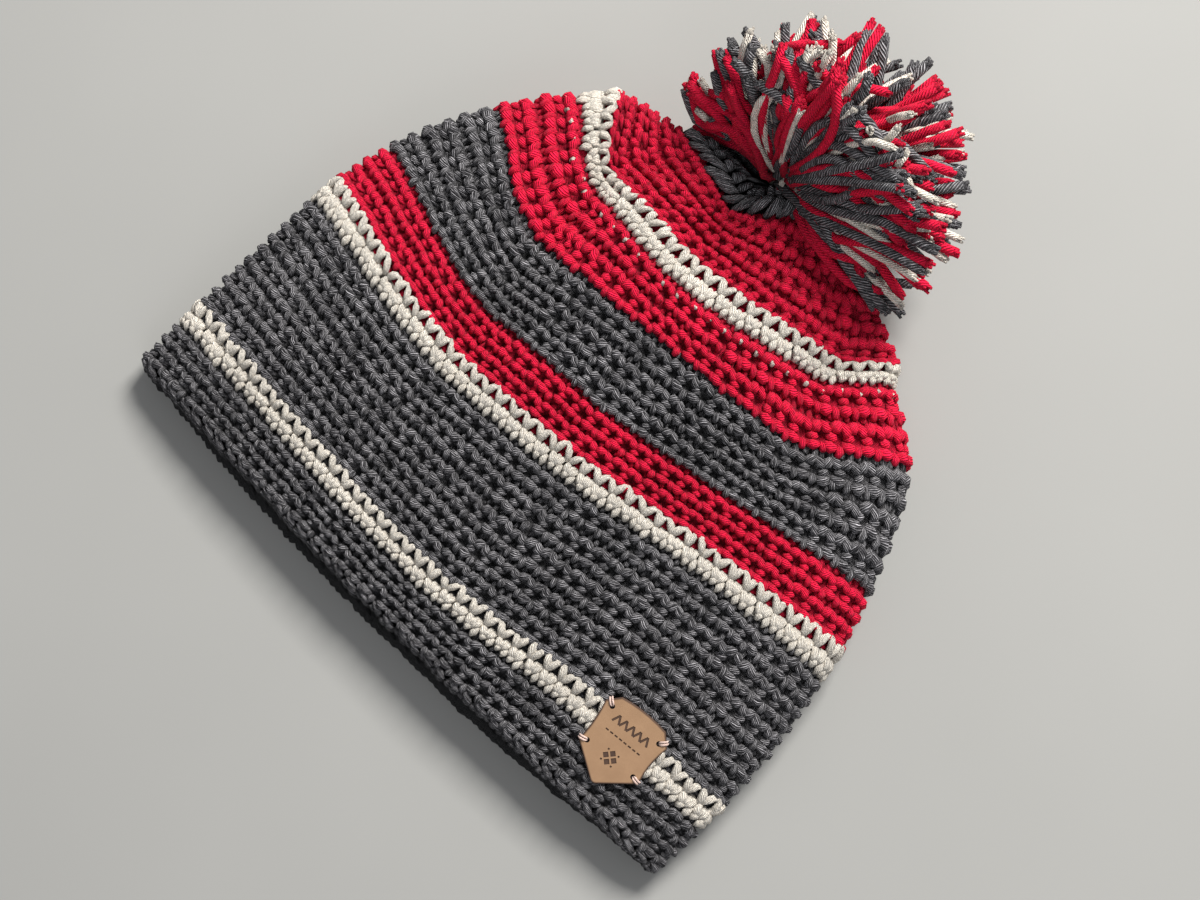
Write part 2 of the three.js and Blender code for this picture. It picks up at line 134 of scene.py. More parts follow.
# %% Helpers for materials
def new_material(name):
    material = bpy.data.materials.new(name)
    material.use_nodes = True
    return material, material.node_tree, material.node_tree.nodes["Principled BSDF"]


def set_sockets(node, **constants):
    """Sets the node's own sockets, whose names have underscores here in place of spaces."""
    for name, value in constants.items():
        node.inputs[name.replace("_", " ")].default_value = value


def add_math(tree, operation, first, second=0.0, third=0.0):
    """A math node whose values are numbers or the outputs of other nodes."""
    node = tree.nodes.new("ShaderNodeMath")
    node.operation = operation
    for socket, value in zip(node.inputs, (first, second, third)):
        if isinstance(value, (int, float)):
            socket.default_value = value
        else:
            tree.links.new(value, socket)
    return node.outputs[0]


# %% Helpers for textures and relief
def add_noise(tree, place, scale, detail, roughness=0.5):
    """Soft random spots: the noise at a place."""
    noise = tree.nodes.new("ShaderNodeTexNoise")
    set_sockets(noise, Scale=scale, Detail=detail, Roughness=roughness)
    tree.links.new(place, noise.inputs["Vector"])
    return noise.outputs["Fac"]


def map_range(tree, value, source, target):
    """A value carried from one range of numbers over to another."""
    node = tree.nodes.new("ShaderNodeMapRange")
    set_sockets(node, From_Min=source[0], From_Max=source[1], To_Min=target[0], To_Max=target[1])
    tree.links.new(value, node.inputs["Value"])
    return node.outputs["Result"]


def read_attribute(tree, name):
    """A number that the mesh keeps at each of its points."""
    node = tree.nodes.new("ShaderNodeAttribute")
    node.attribute_name = name
    return node.outputs["Fac"]


def mix_colours(tree, factor, first, second, blend="MIX"):
    """A colour mix whose colours are tuples or the outputs of other nodes."""
    node = tree.nodes.new("ShaderNodeMix")
    node.data_type, node.blend_type = "RGBA", blend
    for name, value in (("Factor_Float", factor), ("A_Color", first), ("B_Color", second)):
        socket = next(s for s in node.inputs if s.identifier == name)
        if isinstance(value, (int, float)):
            socket.default_value = value
        elif isinstance(value, tuple):
            socket.default_value = (*value, 1)
        else:
            tree.links.new(value, socket)
    return next(s for s in node.outputs if s.identifier == "Result_Color")


def add_bump(tree, shader, height, strength, distance):
    """Relief from a height, as deep as the distance in metres."""
    bump = tree.nodes.new("ShaderNodeBump")
    set_sockets(bump, Strength=strength, Distance=distance)
    tree.links.new(height, bump.inputs["Height"])
    tree.links.new(bump.outputs["Normal"], shader.inputs["Normal"])


# %% [markdown]
# Blender's operators act on all that is selected, and loading the frame leaves its nodes
# selected. Each step could clean up after itself, but one that forgets it spoils the next. So
# a step starts by selecting just what it works on, or nothing when it adds a new shape.

# %% Select what the next step works on
def select_only(*pieces):
    """Selects these pieces and nothing else, with the first one active."""
    bpy.ops.object.select_all(action="DESELECT")
    for piece in pieces:
        piece.select_set(True)
    if pieces:
        bpy.context.view_layer.objects.active = pieces[0]


# %% [markdown]
# The floor stands for the surface that the hat lies on, and isn't part of the object. It could
# have a grain and a colour of its own, but those would draw the eye away from the hat. So it
# is a plain pale plane with a faint mottle, as paper has.

# %% The floor
FLOOR_WIDTH = 6  # m
FLOOR_COLOURS = (0.262, 0.260, 0.248), (0.300, 0.297, 0.284)


def floor_material():
    material, tree, shader = new_material("floor_paper")
    place = tree.nodes.new("ShaderNodeTexCoord").outputs["Object"]
    mottle = add_noise(tree, place, scale=6.0, detail=3.0)
    tree.links.new(mix_colours(tree, mottle, *FLOOR_COLOURS), shader.inputs["Base Color"])
    set_sockets(shader, Roughness=0.9, Specular_IOR_Level=0.05)
    return material


select_only()
bpy.ops.mesh.primitive_plane_add(size=FLOOR_WIDTH)
floor = bpy.context.object
floor.name = "floor"
floor.data.materials.append(floor_material())
floor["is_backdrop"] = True
print("floor", FLOOR_WIDTH, "m wide")

# %% [markdown]
# The hat lies as a flattened tube whose crown leans to one end, with soft creases. Its form
# could be sculpted or draped by simulation. It is a family of closed sections here, one for
# each place between the hem and the crown, because every section can be measured and because
# stitches need to know where along and around the hat they are.
#
# Two tables with a row for each measured section say where its folds and creases lie, how high
# it stands and how far its back reaches. They are the CAD source's own tables, so all that is
# laid on this form fits the frame. Lengths are in mm, and places along the hat are counted in
# ribs: one rib is a pair of crocheted rounds, 9.7 mm long.

# %% The hat's form: sizes and tables
WALL = 4.8  # mm, how thick the cloth is
FRONT_ROUNDNESS = 3  # exponent of the front's curve over to the side folds
BACK_ROUNDNESS = 5
BACK_FLAT = 1.04  # over 1, so that most of the back lies at its lowest height
CREASE_WIDTH = 9
LEAN_FROM, LEAN_RIBS = 15.3, 2.5  # in ribs: where the wall turns inwards to the crown
ORIGIN_Y = 55  # mm from the hem to the frame's origin
SECTION_STEPS = 480  # points on the front of a section, and on its back

OUTLINE_COLUMNS = [
    "ribs", "leftX", "leftY", "creaseAX", "creaseAY", "middleX", "middleY",
    "creaseBX", "creaseBY", "rightX", "rightY",
]
OUTLINE_ROWS = [
    [0.00, -119.0, -1.5, -40, -3.5, 0, -4.0, 54, -2.5, 120.5, 1.5],
    [3.35, -118.5, 27.5, -40, 21.5, -2, 20.5, 59, 27.5, 121.0, 32.5],
    [8.35, -117.5, 79.5, -40, 66.5, -4, 68.0, 64, 78.5, 115.5, 84.5],
    [11.35, -111.5, 110.0, -45, 92.0, -4, 94.0, 62, 104.5, 106.5, 115.0],
    [14.35, -95.5, 145.0, -50, 120.5, -6, 123.0, 55, 130.5, 87.5, 153.5],
    [16.35, -78.0, 167.5, -51, 147.0, -12, 141.5, 47, 152.5, 65.5, 169.0],
    [17.35, -69.5, 176.5, -51, 154.5, -12, 151.0, 47, 161.0, 61.5, 174.0],
    [20.35, -42.0, 180.0, -32, 178.5, -14, 173.5, 4, 184.0, 26.0, 188.5],
]
HEIGHT_COLUMNS = [
    "ribs", "back", "fold", "top", "low", "creaseADepth", "middleDepth", "creaseBDepth",
]
HEIGHT_ROWS = [
    [0.00, -7, 8.0, 17, 0, 0.0, 0.0, 0.0],
    [3.35, -5, 10.0, 23, 0, 0.5, 0.0, 0.0],
    [8.35, -2, 11.5, 29, 0, 3.0, 0.0, 0.0],
    [11.35, -1, 12.5, 31, 0, 6.0, 0.0, 1.0],
    [14.35, -1, 13.5, 33, 0, 8.0, 0.5, 3.5],
    [16.35, 0, 15.0, 34, 0, 9.0, 2.0, 5.0],
    [17.35, 2, 17.0, 34, 1, 9.0, 3.5, 5.0],
    [20.35, 12, 24.0, 34, 16, 2.0, 5.0, 1.0],
]

print(len(OUTLINE_ROWS), "sections from rib 0 to rib", OUTLINE_ROWS[-1][0])

# %% A smooth line through measured values
def smooth_through(xs, ys, at):
    """A smooth line through points that never swings past them."""
    xs, ys = np.asarray(xs, float), np.asarray(ys, float)
    steps = np.diff(xs)
    slopes = np.diff(ys) / steps
    tangents = np.concatenate([slopes[:1], np.zeros(len(xs) - 2), slopes[-1:]])
    for i in range(1, len(xs) - 1):
        before, after = slopes[i - 1], slopes[i]
        if before * after > 0:
            weight_before = 2 * steps[i] + steps[i - 1]
            weight_after = steps[i] + 2 * steps[i - 1]
            tangents[i] = (weight_before + weight_after) / (
                weight_before / before + weight_after / after
            )
    x = np.clip(at, xs[0], xs[-1])
    i = np.clip(np.searchsorted(xs, x) - 1, 0, len(xs) - 2)
    t = (x - xs[i]) / steps[i]
    start = (1 + 2 * t) * (1 - t) ** 2 * ys[i] + t * (1 - t) ** 2 * steps[i] * tangents[i]
    end = t * t * (3 - 2 * t) * ys[i + 1] + t * t * (t - 1) * steps[i] * tangents[i + 1]
    return start + end


# %% One section of the hat
def section_at(ribs):
    """The named values of both tables at one place."""
    values = {}
    for columns, rows in ((OUTLINE_COLUMNS, OUTLINE_ROWS), (HEIGHT_COLUMNS, HEIGHT_ROWS)):
        table = np.array(rows)
        for k, column in enumerate(columns):
            values[column] = float(smooth_through(table[:, 0], table[:, k], ribs))
    return values


def section_loop(ribs, inset):
    """One closed loop of the cloth: over the front from left to right, back below."""
    s = section_at(ribs)
    middle_x = (s["leftX"] + s["rightX"]) / 2
    half_width = (s["rightX"] - s["leftX"]) / 2
    lean = np.clip((ribs - LEAN_FROM) / LEAN_RIBS, 0, 1)
    lean = lean * lean * (3 - 2 * lean) * inset

    cosine = np.cos(np.pi * (1 - np.arange(SECTION_STEPS) / SECTION_STEPS))
    sine = np.sqrt(1 - cosine ** 2)
    across = np.sign(cosine) * np.abs(cosine) ** (2 / FRONT_ROUNDNESS)
    dome = sine ** (2 / FRONT_ROUNDNESS)
    front_x = [s["leftX"], s["creaseAX"], s["middleX"], s["creaseBX"], s["rightX"]]
    front_y = [s["leftY"], s["creaseAY"], s["middleY"], s["creaseBY"], s["rightY"]]
    x = middle_x + (half_width - inset) * across
    y = smooth_through(front_x, front_y, middle_x + half_width * across) - lean
    z = s["fold"] + (s["top"] - inset - s["fold"]) * dome
    for crease in ("creaseA", "middle", "creaseB"):
        z = z - s[crease + "Depth"] * np.exp(-(((x - s[crease + "X"]) / CREASE_WIDTH) ** 2)) * dome
    front = np.stack([x, y - ORIGIN_Y, z], axis=1)

    across = np.sign(-cosine) * np.abs(cosine) ** (2 / BACK_ROUNDNESS)
    drop = np.minimum(1, BACK_FLAT * sine ** (2 / BACK_ROUNDNESS))
    x = middle_x + (half_width - inset) * across
    y = s["leftY"] + (s["rightY"] - s["leftY"]) * (across + 1) / 2
    y = y + s["back"] * (1 - across ** 2) - lean
    z = s["fold"] - (s["fold"] - s["low"] - inset) * drop
    back = np.stack([x, y - ORIGIN_Y, z], axis=1)
    return np.concatenate([front, back])


# %% [markdown]
# The sections are sampled once into a fine grid with even steps along the cloth, for the outer
# face and for the inner one. Every stitch could ask for its own section, but there are
# thousands of them, and looking a place up in a grid is quick. Past the crown's last rib the
# grid closes over the gather. The outward direction comes from the grid's own neighbours,
# smoothed a little, so that stitches stand upright on it and don't collide in the creases.

# %% Loops at even steps
GRID_STEP = 0.05  # ribs
GRID_AROUND = 960


def even_loops(ribs):
    """The outer and the inner loop of one place, at even steps along the outer one."""
    outer, inner = section_loop(ribs, 0), section_loop(ribs, WALL)
    closed = np.concatenate([outer, outer[:1]])
    lengths = np.concatenate([[0], np.cumsum(np.linalg.norm(np.diff(closed, axis=0), axis=1))])
    at = np.linspace(0, lengths[-1], GRID_AROUND, endpoint=False)
    loops = []
    for loop in (outer, inner):
        closed = np.concatenate([loop, loop[:1]])
        loops.append(np.stack([np.interp(at, lengths, closed[:, k]) for k in range(3)], axis=1))
    return loops[0], loops[1], lengths[-1]


print("hem loop", round(even_loops(0)[2]), "mm")

# %% The hat's form as a grid
GATHER_FROM = 20.35  # in ribs from the hem
GATHER_RISE = 4.5
GATHER_NORMAL = np.array([0, 0.58, 0.81])
GATHER_SHARES = [0, 0.22, 0.55, 0.8, 1]  # of the way from the gather's edge to its middle
GATHER_RISES = [0, 0.5, 0.85, 0.97, 1]  # shares of its rise there

grid_ribs = np.arange(0, GATHER_FROM + 1 + GRID_STEP / 2, GRID_STEP)
outer_rings, inner_rings = [], []
for ribs in grid_ribs:
    outer, inner, _ = even_loops(min(ribs, GATHER_FROM))
    share = max(0, ribs - GATHER_FROM)
    if share > 0:
        rise = float(smooth_through(GATHER_SHARES, GATHER_RISES, share))
        outer = outer + (outer.mean(axis=0) - outer) * share + GATHER_NORMAL * GATHER_RISE * rise
        inner = outer - GATHER_NORMAL * WALL
    outer_rings.append(outer)
    inner_rings.append(inner)
grid_outer = np.array(outer_rings)
grid_inner = np.array(inner_rings)
print("grid", grid_outer.shape)

# %% The cloth's outward direction
NEIGHBOUR = 4  # steps of the grid to the neighbours on either side
SMOOTHED_AROUND, SMOOTHED_ALONG = 6, 5  # steps of the grid


def smooth_around(values, axis, width):
    """A running mean along one axis of the grid; the axis around the hat is closed."""
    mode = "wrap" if axis == 1 else "edge"
    padded = np.pad(values, [(width, width) if k == axis else (0, 0) for k in range(3)], mode=mode)
    sums = np.cumsum(padded, axis=axis)
    sums = np.concatenate([np.zeros_like(np.take(sums, [0], axis=axis)), sums], axis=axis)
    count = values.shape[axis]
    high = np.take(sums, range(2 * width + 1, 2 * width + 1 + count), axis=axis)
    low = np.take(sums, range(count), axis=axis)
    return (high - low) / (2 * width + 1)


def unit(vectors):
    """The vectors at length 1."""
    return vectors / (np.linalg.norm(vectors, axis=-1, keepdims=True) + 1e-9)


around = np.roll(grid_outer, -NEIGHBOUR, axis=1) - np.roll(grid_outer, NEIGHBOUR, axis=1)
outward = unit(np.cross(around, np.gradient(grid_outer, axis=0)))
outward = unit(smooth_around(smooth_around(outward, 1, SMOOTHED_AROUND), 0, SMOOTHED_ALONG))
print("middle of the hem's front faces", outward[0, GRID_AROUND // 4].round(2))

# %% Look up a place in the grid
def grid_sample(grid, ribs, share):
    """Values of the grid at places along the hat and shares of the way around it."""
    row = np.clip(ribs / GRID_STEP, 0, len(grid) - 1.001)
    column = (share % 1.0) * GRID_AROUND
    i, j = row.astype(int), column.astype(int) % GRID_AROUND
    next_j = (j + 1) % GRID_AROUND
    a, b = (row - i)[:, None], (column - np.floor(column))[:, None]
    low = grid[i, j] * (1 - b) + grid[i, next_j] * b
    high = grid[i + 1, j] * (1 - b) + grid[i + 1, next_j] * b
    return low * (1 - a) + high * a


# %% [markdown]
# The label is sewn onto the front near the hem, and it presses the stitches under it flat. Its
# tilt could be typed in as angles. It is found from the frame's own solid instead, so the two
# always agree: the flattest direction of that solid's corners is the plane's normal. The
# outline is repeated from the CAD source, as sides that may be bent.

# %% Where the label lies
LABEL_CENTRE = (84.5, -33.5)
LABEL_TURN = math.radians(6)
LABEL_SIDES = [
    {"from": (8.8, 13.3), "bend": (0, 14.9)},
    {"from": (-8.8, 13.3), "bend": None},
    {"from": (-12.5, 9.3), "bend": (-10.8, 2)},
    {"from": (-11.4, -5.8), "bend": None},
    {"from": (-0.6, -13.5), "bend": (0.5, -14.2)},
    {"from": (1.6, -13.5), "bend": None},
    {"from": (11.4, -5.8), "bend": None},
    {"from": (12.1, -3.5), "bend": (10.8, 2)},
    {"from": (12.5, 9.3), "bend": None},
]
BEND_STEPS = 5
PRESSED_RISE = 1.2  # how fast the pressed cloth rises beside the label
PRESS_HEIGHT = 0.1  # mm from the ground or the label, for what is pressed against it


def label_outline():
    """The label's outline in its own plane, counter-clockwise."""
    points = []
    for side, next_side in zip(LABEL_SIDES, LABEL_SIDES[1:] + LABEL_SIDES[:1]):
        start, end = np.array(side["from"]), np.array(next_side["from"])
        steps = BEND_STEPS if side["bend"] else 1
        bend = np.array(side["bend"]) if side["bend"] else (start + end) / 2
        for t in np.arange(steps) / steps:
            points.append((1 - t) ** 2 * start + 2 * t * (1 - t) * bend + t * t * end)
    return np.array(points)


label_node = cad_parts["leather_label"]
corners = np.array([label_node.matrix_world @ v.co for v in label_node.data.vertices]) / MM
_, _, directions = np.linalg.svd(corners - corners.mean(axis=0))
label_normal = Vector(directions[2] * np.sign(directions[2][2]))
heights = corners @ np.array(label_normal)
LABEL_THICKNESS = heights.max() - heights.min()
under_z = (heights.min() - label_normal.xy @ Vector(LABEL_CENTRE)) / label_normal.z
label_place = Vector((*LABEL_CENTRE, under_z))
label_turn = Vector((0, 0, 1)).rotation_difference(label_normal) @ Quaternion((0, 0, 1), LABEL_TURN)
label_axes = np.array(label_turn.to_matrix())
print("label", round(LABEL_THICKNESS, 2), "mm thick, its underside at", round(under_z, 1), "mm")


def press_under_label(points):
    """Moves points of the cloth to just under the label, and a little less so beside it."""
    flat = (points - np.array(label_place)) @ label_axes
    outline = label_outline()
    sides = np.roll(outline, -1, axis=0) - outline
    outwards = np.stack([sides[:, 1], -sides[:, 0]], axis=1)
    outwards /= np.linalg.norm(outwards, axis=1, keepdims=True)
    outside = np.max(flat[:, :2] @ outwards.T - np.sum(outline * outwards, axis=1), axis=1)
    highest = PRESSED_RISE * np.clip(outside, 0, None) - PRESS_HEIGHT
    sunk = np.clip(flat[:, 2] - highest, 0, None)
    return points - label_axes[:, 2] * sunk[:, None]


# %% [markdown]
# Real cloth takes its form as it is worked. In Blender a curve or lattice modifier could bend
# it, but neither follows creases, so it is made flat and laid on the hat in code, as a wrapper
# is laid on a can. On a flat swatch, x counts along the round, y from the hem to the crown,
# and z is the height over the cloth's outer face. These turn into a place on the grid plus a
# step outwards, or towards the inner face for depths. What meets the ground is pressed flat.
# The height is kept as an attribute, from which the yarn's material paints shade into the holes.

# %% Read and move a mesh's points
def mesh_points(piece):
    points = np.zeros(len(piece.data.vertices) * 3)
    piece.data.vertices.foreach_get("co", points)
    return points.reshape(-1, 3)


def set_mesh_points(piece, points):
    piece.data.vertices.foreach_set("co", np.ascontiguousarray(points, float).ravel())
    piece.data.update()


def keep_attribute(piece, name, values):
    """Keeps a number at each point of a mesh, for its material to read."""
    attribute = piece.data.attributes.new(name, "FLOAT", "POINT")
    attribute.data.foreach_set("value", values)


# %% Lay a flat swatch on the hat
PITCH = 5.9  # mm from stitch to stitch
RIB = 9.7  # mm from rib to rib
RIM_SPAN = 0.3  # ribs, over which the direction past the hem is found
# Painted shade: between these heights over the outer face, the holes fade from the darkest painted shade
# to none.
PAINTED_SHADE_FULL_HEIGHT, PAINTED_SHADE_NONE_HEIGHT = -2.5, 0.3  # mm over the outer face


def lay_on_hat(piece, count, start, turn=0.0):
    """Wraps a flat round of that many stitches round the hat, from one rib upwards."""
    flat = mesh_points(piece) / MM
    ribs = start + flat[:, 1] / RIB
    share = flat[:, 0] / (PITCH * count) + turn / count
    height = flat[:, 2]
    outer = grid_sample(grid_outer, ribs, share)
    inner = grid_sample(grid_inner, ribs, share)
    up = grid_sample(outward, ribs, share)
    depth = np.clip(-height, 0, None)[:, None] / WALL
    placed = outer + (inner - outer) * depth + up * np.clip(height, 0, None)[:, None]
    hem_edge = grid_sample(grid_outer, np.zeros(len(ribs)), share)
    past_hem = unit(hem_edge - grid_sample(grid_outer, np.full(len(ribs), RIM_SPAN), share))
    placed += past_hem * np.clip(-ribs, 0, None)[:, None] * RIB
    placed = press_under_label(placed)
    placed[:, 2] = np.maximum(placed[:, 2], PRESS_HEIGHT)
    set_mesh_points(piece, placed * MM)
    # Painted shade: the deeper a point lies, the darker the yarn's material paints it.
    painted_light_share = (height - PAINTED_SHADE_FULL_HEIGHT) / (PAINTED_SHADE_NONE_HEIGHT - PAINTED_SHADE_FULL_HEIGHT)
    keep_attribute(piece, "painted_light", np.clip(painted_light_share, 0, 1))


# %% [markdown]
# Yarn is a bundle of thin threads, twisted. The threads could be modelled, at hundreds of
# times the faces, so the material draws them. It runs on the yarn's own UV map, where u is the
# length along the yarn in centimetres and v goes once around it, and turning v with u gives
# the twist. Sine waves make the threads, as a bump and as a painted highlight on each ridge
# with painted shade in the grooves between them. Stretched noise gives each thread its own
# tone, as in heathered yarn.

# %% The twisted threads
STITCH_TWIST = {"threads": 15.0, "turns_per_cm": 0.6, "relief": 0.0006}
STRAND_TWIST = {"threads": 8.0, "turns_per_cm": 1.1, "relief": 0.0006}
SEWING_TWIST = {"threads": 5.0, "turns_per_cm": 5.0, "relief": 0.0001}
SHADES_PER_CM = 1.2


def twisted_threads(tree, uv, twist):
    """Two values of a yarn's surface: the fibres' shades and the ridges of the threads."""
    split = tree.nodes.new("ShaderNodeSeparateXYZ")
    tree.links.new(uv, split.inputs["Vector"])
    along, once_around = split.outputs["X"], split.outputs["Y"]
    turns = add_math(tree, "MULTIPLY_ADD", along, twist["turns_per_cm"], once_around)
    angle = add_math(tree, "MULTIPLY", turns, math.tau)
    bundle = tree.nodes.new("ShaderNodeCombineXYZ")
    tree.links.new(add_math(tree, "COSINE", angle), bundle.inputs["X"])
    tree.links.new(add_math(tree, "SINE", angle), bundle.inputs["Y"])
    tree.links.new(add_math(tree, "MULTIPLY", along, SHADES_PER_CM), bundle.inputs["Z"])
    fibres = add_noise(tree, bundle.outputs["Vector"], scale=3.6, detail=3.0, roughness=0.65)
    wave = add_math(tree, "SINE", add_math(tree, "MULTIPLY", angle, twist["threads"]))
    return fibres, add_math(tree, "MULTIPLY_ADD", wave, 0.5, 0.5)


# %% [markdown]
# Loose fibres cloud the yarn's surface. Hair would show them, but the exported meshes carry
# none, so very fine noise in the object's own coordinates speckles the colour and the bump.
# Wide noise gives the cloth a faint mottle. The height that each piece keeps darkens the holes
# between stitches, where little light gets in. Sheen on the shader adds the soft bloom of
# fibres at grazing angles.

# %% The yarn materials
def tone_and_painted_shade(tree, place, fuzz, painted_hole_shade):
    """How light the yarn is, as a grey: mottled, speckled and darkened by painted shade in the holes."""
    mottle = map_range(tree, add_noise(tree, place, scale=38.0, detail=2.0), (0, 1), (0.78, 1.18))
    # Painted shade in the holes between stitches, read from the stored height.
    hole = map_range(tree, read_attribute(tree, "painted_light"), (0, 0.75), (painted_hole_shade, 1))
    speckle = map_range(tree, fuzz, (0.35, 0.65), (0.72, 1.28))
    tone_with_painted_shade = add_math(tree, "MULTIPLY", add_math(tree, "MULTIPLY", mottle, hole), speckle)
    grey = tree.nodes.new("ShaderNodeCombineColor")
    for channel in grey.inputs:
        tree.links.new(tone_with_painted_shade, channel)
    return grey.outputs["Color"]


def yarn_material(name, yarn, twist):
    """Colours, painted highlights and shade, and bump of one yarn, as it is twisted in stitches or in
    strands.
    """
    material, tree, shader = new_material(name)
    place = tree.nodes.new("ShaderNodeTexCoord")
    fibres, threads = twisted_threads(tree, place.outputs["UV"], twist)
    shade = map_range(tree, fibres, (0.40, 0.62), (yarn["least_light"], 1))
    # Painted highlight and shade: the colour is lighter on each thread's ridge and darker in the grooves
    # between threads; the fibres' own tones are the yarn's real colour.
    ridges = add_math(tree, "MULTIPLY_ADD", add_math(tree, "POWER", threads, 2.2), 0.9, 0.1)
    light_share = add_math(tree, "MULTIPLY", ridges, shade)
    colour = mix_colours(tree, light_share, yarn["dark"], yarn["light"])
    fuzz = add_noise(tree, place.outputs["Object"], scale=1600.0, detail=2.0, roughness=0.7)
    tone_with_painted_shade = tone_and_painted_shade(tree, place.outputs["Object"], fuzz, yarn["painted_hole_shade"])
    colour = mix_colours(tree, 1.0, colour, tone_with_painted_shade, "MULTIPLY")
    tree.links.new(colour, shader.inputs["Base Color"])
    relief = add_math(tree, "MULTIPLY_ADD", fibres, 0.8, threads)
    relief = add_math(tree, "MULTIPLY_ADD", fuzz, 0.5, relief)
    add_bump(tree, shader, relief, strength=1.0, distance=twist["relief"])
    set_sockets(shader, Roughness=0.82, Specular_IOR_Level=0.12)
    set_sockets(shader, Sheen_Weight=yarn["sheen"], Sheen_Roughness=0.45)
    return material


# Each yarn's hole value is how dark the painted shade makes it in the deepest holes.
YARNS = {
    "charcoal": {
        "dark": (0.013, 0.012, 0.014), "light": (0.58, 0.56, 0.58),
        "least_light": 0.02, "painted_hole_shade": 0.06, "sheen": 0.06,
    },
    "red": {
        "dark": (0.62, 0.006, 0.030), "light": (0.98, 0.014, 0.085),
        "least_light": 0.4, "painted_hole_shade": 0.28, "sheen": 0.02,
    },
    "cream": {
        "dark": (0.78, 0.69, 0.57), "light": (0.98, 0.95, 0.88),
        "least_light": 0.6, "painted_hole_shade": 0.45, "sheen": 0.08,
    },
}
stitch_yarns, strand_yarns = {}, {}
for yarn_name, yarn in YARNS.items():
    stitch_yarns[yarn_name] = yarn_material(f"yarn_{yarn_name}", yarn, STITCH_TWIST)
    strand_yarns[yarn_name] = yarn_material(f"strand_{yarn_name}", yarn, STRAND_TWIST)
print("yarns:", ", ".join(YARNS))

# %% [markdown]
# Each bit of a stitch is a short length of yarn, plump in the middle and thin where it dives
# into the cloth. It could be extruded ring by ring. A curve with a round bevel is quicker to
# shape, with one radius at each of its points, and its mesh keeps a UV map, whose u is then
# stretched to real centimetres. It has only a few dozen faces, because it is repeated
# thousands of times.

# %% One length of yarn
MERGE_DISTANCE = 0.00001  # m


def read_uv(piece):
    uv = np.zeros(len(piece.data.loops) * 2)
    piece.data.uv_layers[0].data.foreach_get("uv", uv)
    return uv.reshape(-1, 2)


def write_uv(piece, uv):
    piece.data.uv_layers[0].data.foreach_set("uv", uv.ravel())


def yarn_length(name, points, radii, steps=2, roundness=1):
    """A mesh tube through points in mm, with a radius in mm at each."""
    select_only()
    bpy.ops.curve.primitive_bezier_curve_add(enter_editmode=True)
    bpy.ops.curve.select_all(action="SELECT")
    bpy.ops.curve.subdivide(number_cuts=len(points) - 2)
    bpy.ops.curve.handle_type_set(type="AUTOMATIC")
    bpy.ops.object.mode_set(mode="OBJECT")
    piece = bpy.context.object
    piece.name = name
    curve = piece.data
    curve.bevel_depth = MM
    curve.bevel_resolution = roundness
    curve.resolution_u = steps
    curve.use_fill_caps = True
    for knot, point, radius in zip(curve.splines[0].bezier_points, points, radii):
        knot.co = Vector(point) * MM
        knot.radius = radius
    bpy.ops.object.convert(target="MESH")
    piece = bpy.context.object
    bpy.ops.object.transform_apply(location=True, rotation=True, scale=True)
    bpy.ops.object.mode_set(mode="EDIT")
    bpy.ops.mesh.select_all(action="SELECT")
    bpy.ops.mesh.remove_doubles(threshold=MERGE_DISTANCE)
    bpy.ops.mesh.normals_make_consistent(inside=False)
    bpy.ops.object.mode_set(mode="OBJECT")
    centimetres = sum(math.dist(a, b) for a, b in zip(points, points[1:])) / 10
    write_uv(piece, read_uv(piece) * (centimetres, 1))
    return piece


def join_pieces(name, pieces):
    """One object from several."""
    select_only(*pieces)
    if len(pieces) > 1:
        bpy.ops.object.join()
    joined = bpy.context.object
    joined.name = joined.data.name = name
    return joined


# %% [markdown]
# Seen from outside, a crocheted stitch shows seven bits of yarn: a small tip that hangs over
# the groove, a plump bar beside it, a slanted bar above both, and two legs, each with a neck
# that the next round's stitches sit on. Cream stripes show a tip, a root, a fan of three bits
# and an open arch that stands over the next colour. A stitch could be one knotted curve, but
# most of that is hidden, so only the bits that show are made. Each list gives a bit's points
# as (share of the pitch, share of the rib, height in mm) and its radii in mm.

# %% The stitch
STITCH = {
    "tip": ([(0.80, -0.09, -0.9), (0.81, 0.05, 0.2), (0.80, 0.17, -1.3)], (0.9, 1.36, 0.8)),
    "bar": ([(-0.05, 0.16, -1.2), (0.27, 0.10, 0.4), (0.60, 0.15, -1.3)], (1.0, 1.72, 0.9)),
    "slant": ([(0.08, 0.34, -1.4), (0.30, 0.36, -0.4), (0.55, 0.41, -1.6)], (0.9, 1.45, 0.8)),
    "left_leg": ([(0.26, 0.57, -1.5), (0.50, 0.64, 0.2), (0.76, 0.74, -1.6)], (1.0, 1.66, 0.9)),
    "right_leg": ([(1.22, 0.54, -1.5), (1.01, 0.61, 0.2), (0.84, 0.75, -1.6)], (1.0, 1.58, 0.9)),
    "left_neck": ([(0.26, 0.76, -2.0), (0.30, 0.88, -1.7), (0.32, 1.02, -2.0)], (1.0, 1.20, 0.9)),
    "right_neck": ([(0.78, 0.76, -2.1), (0.80, 0.88, -1.8), (0.82, 1.02, -2.1)], (1.0, 1.20, 0.9)),
}
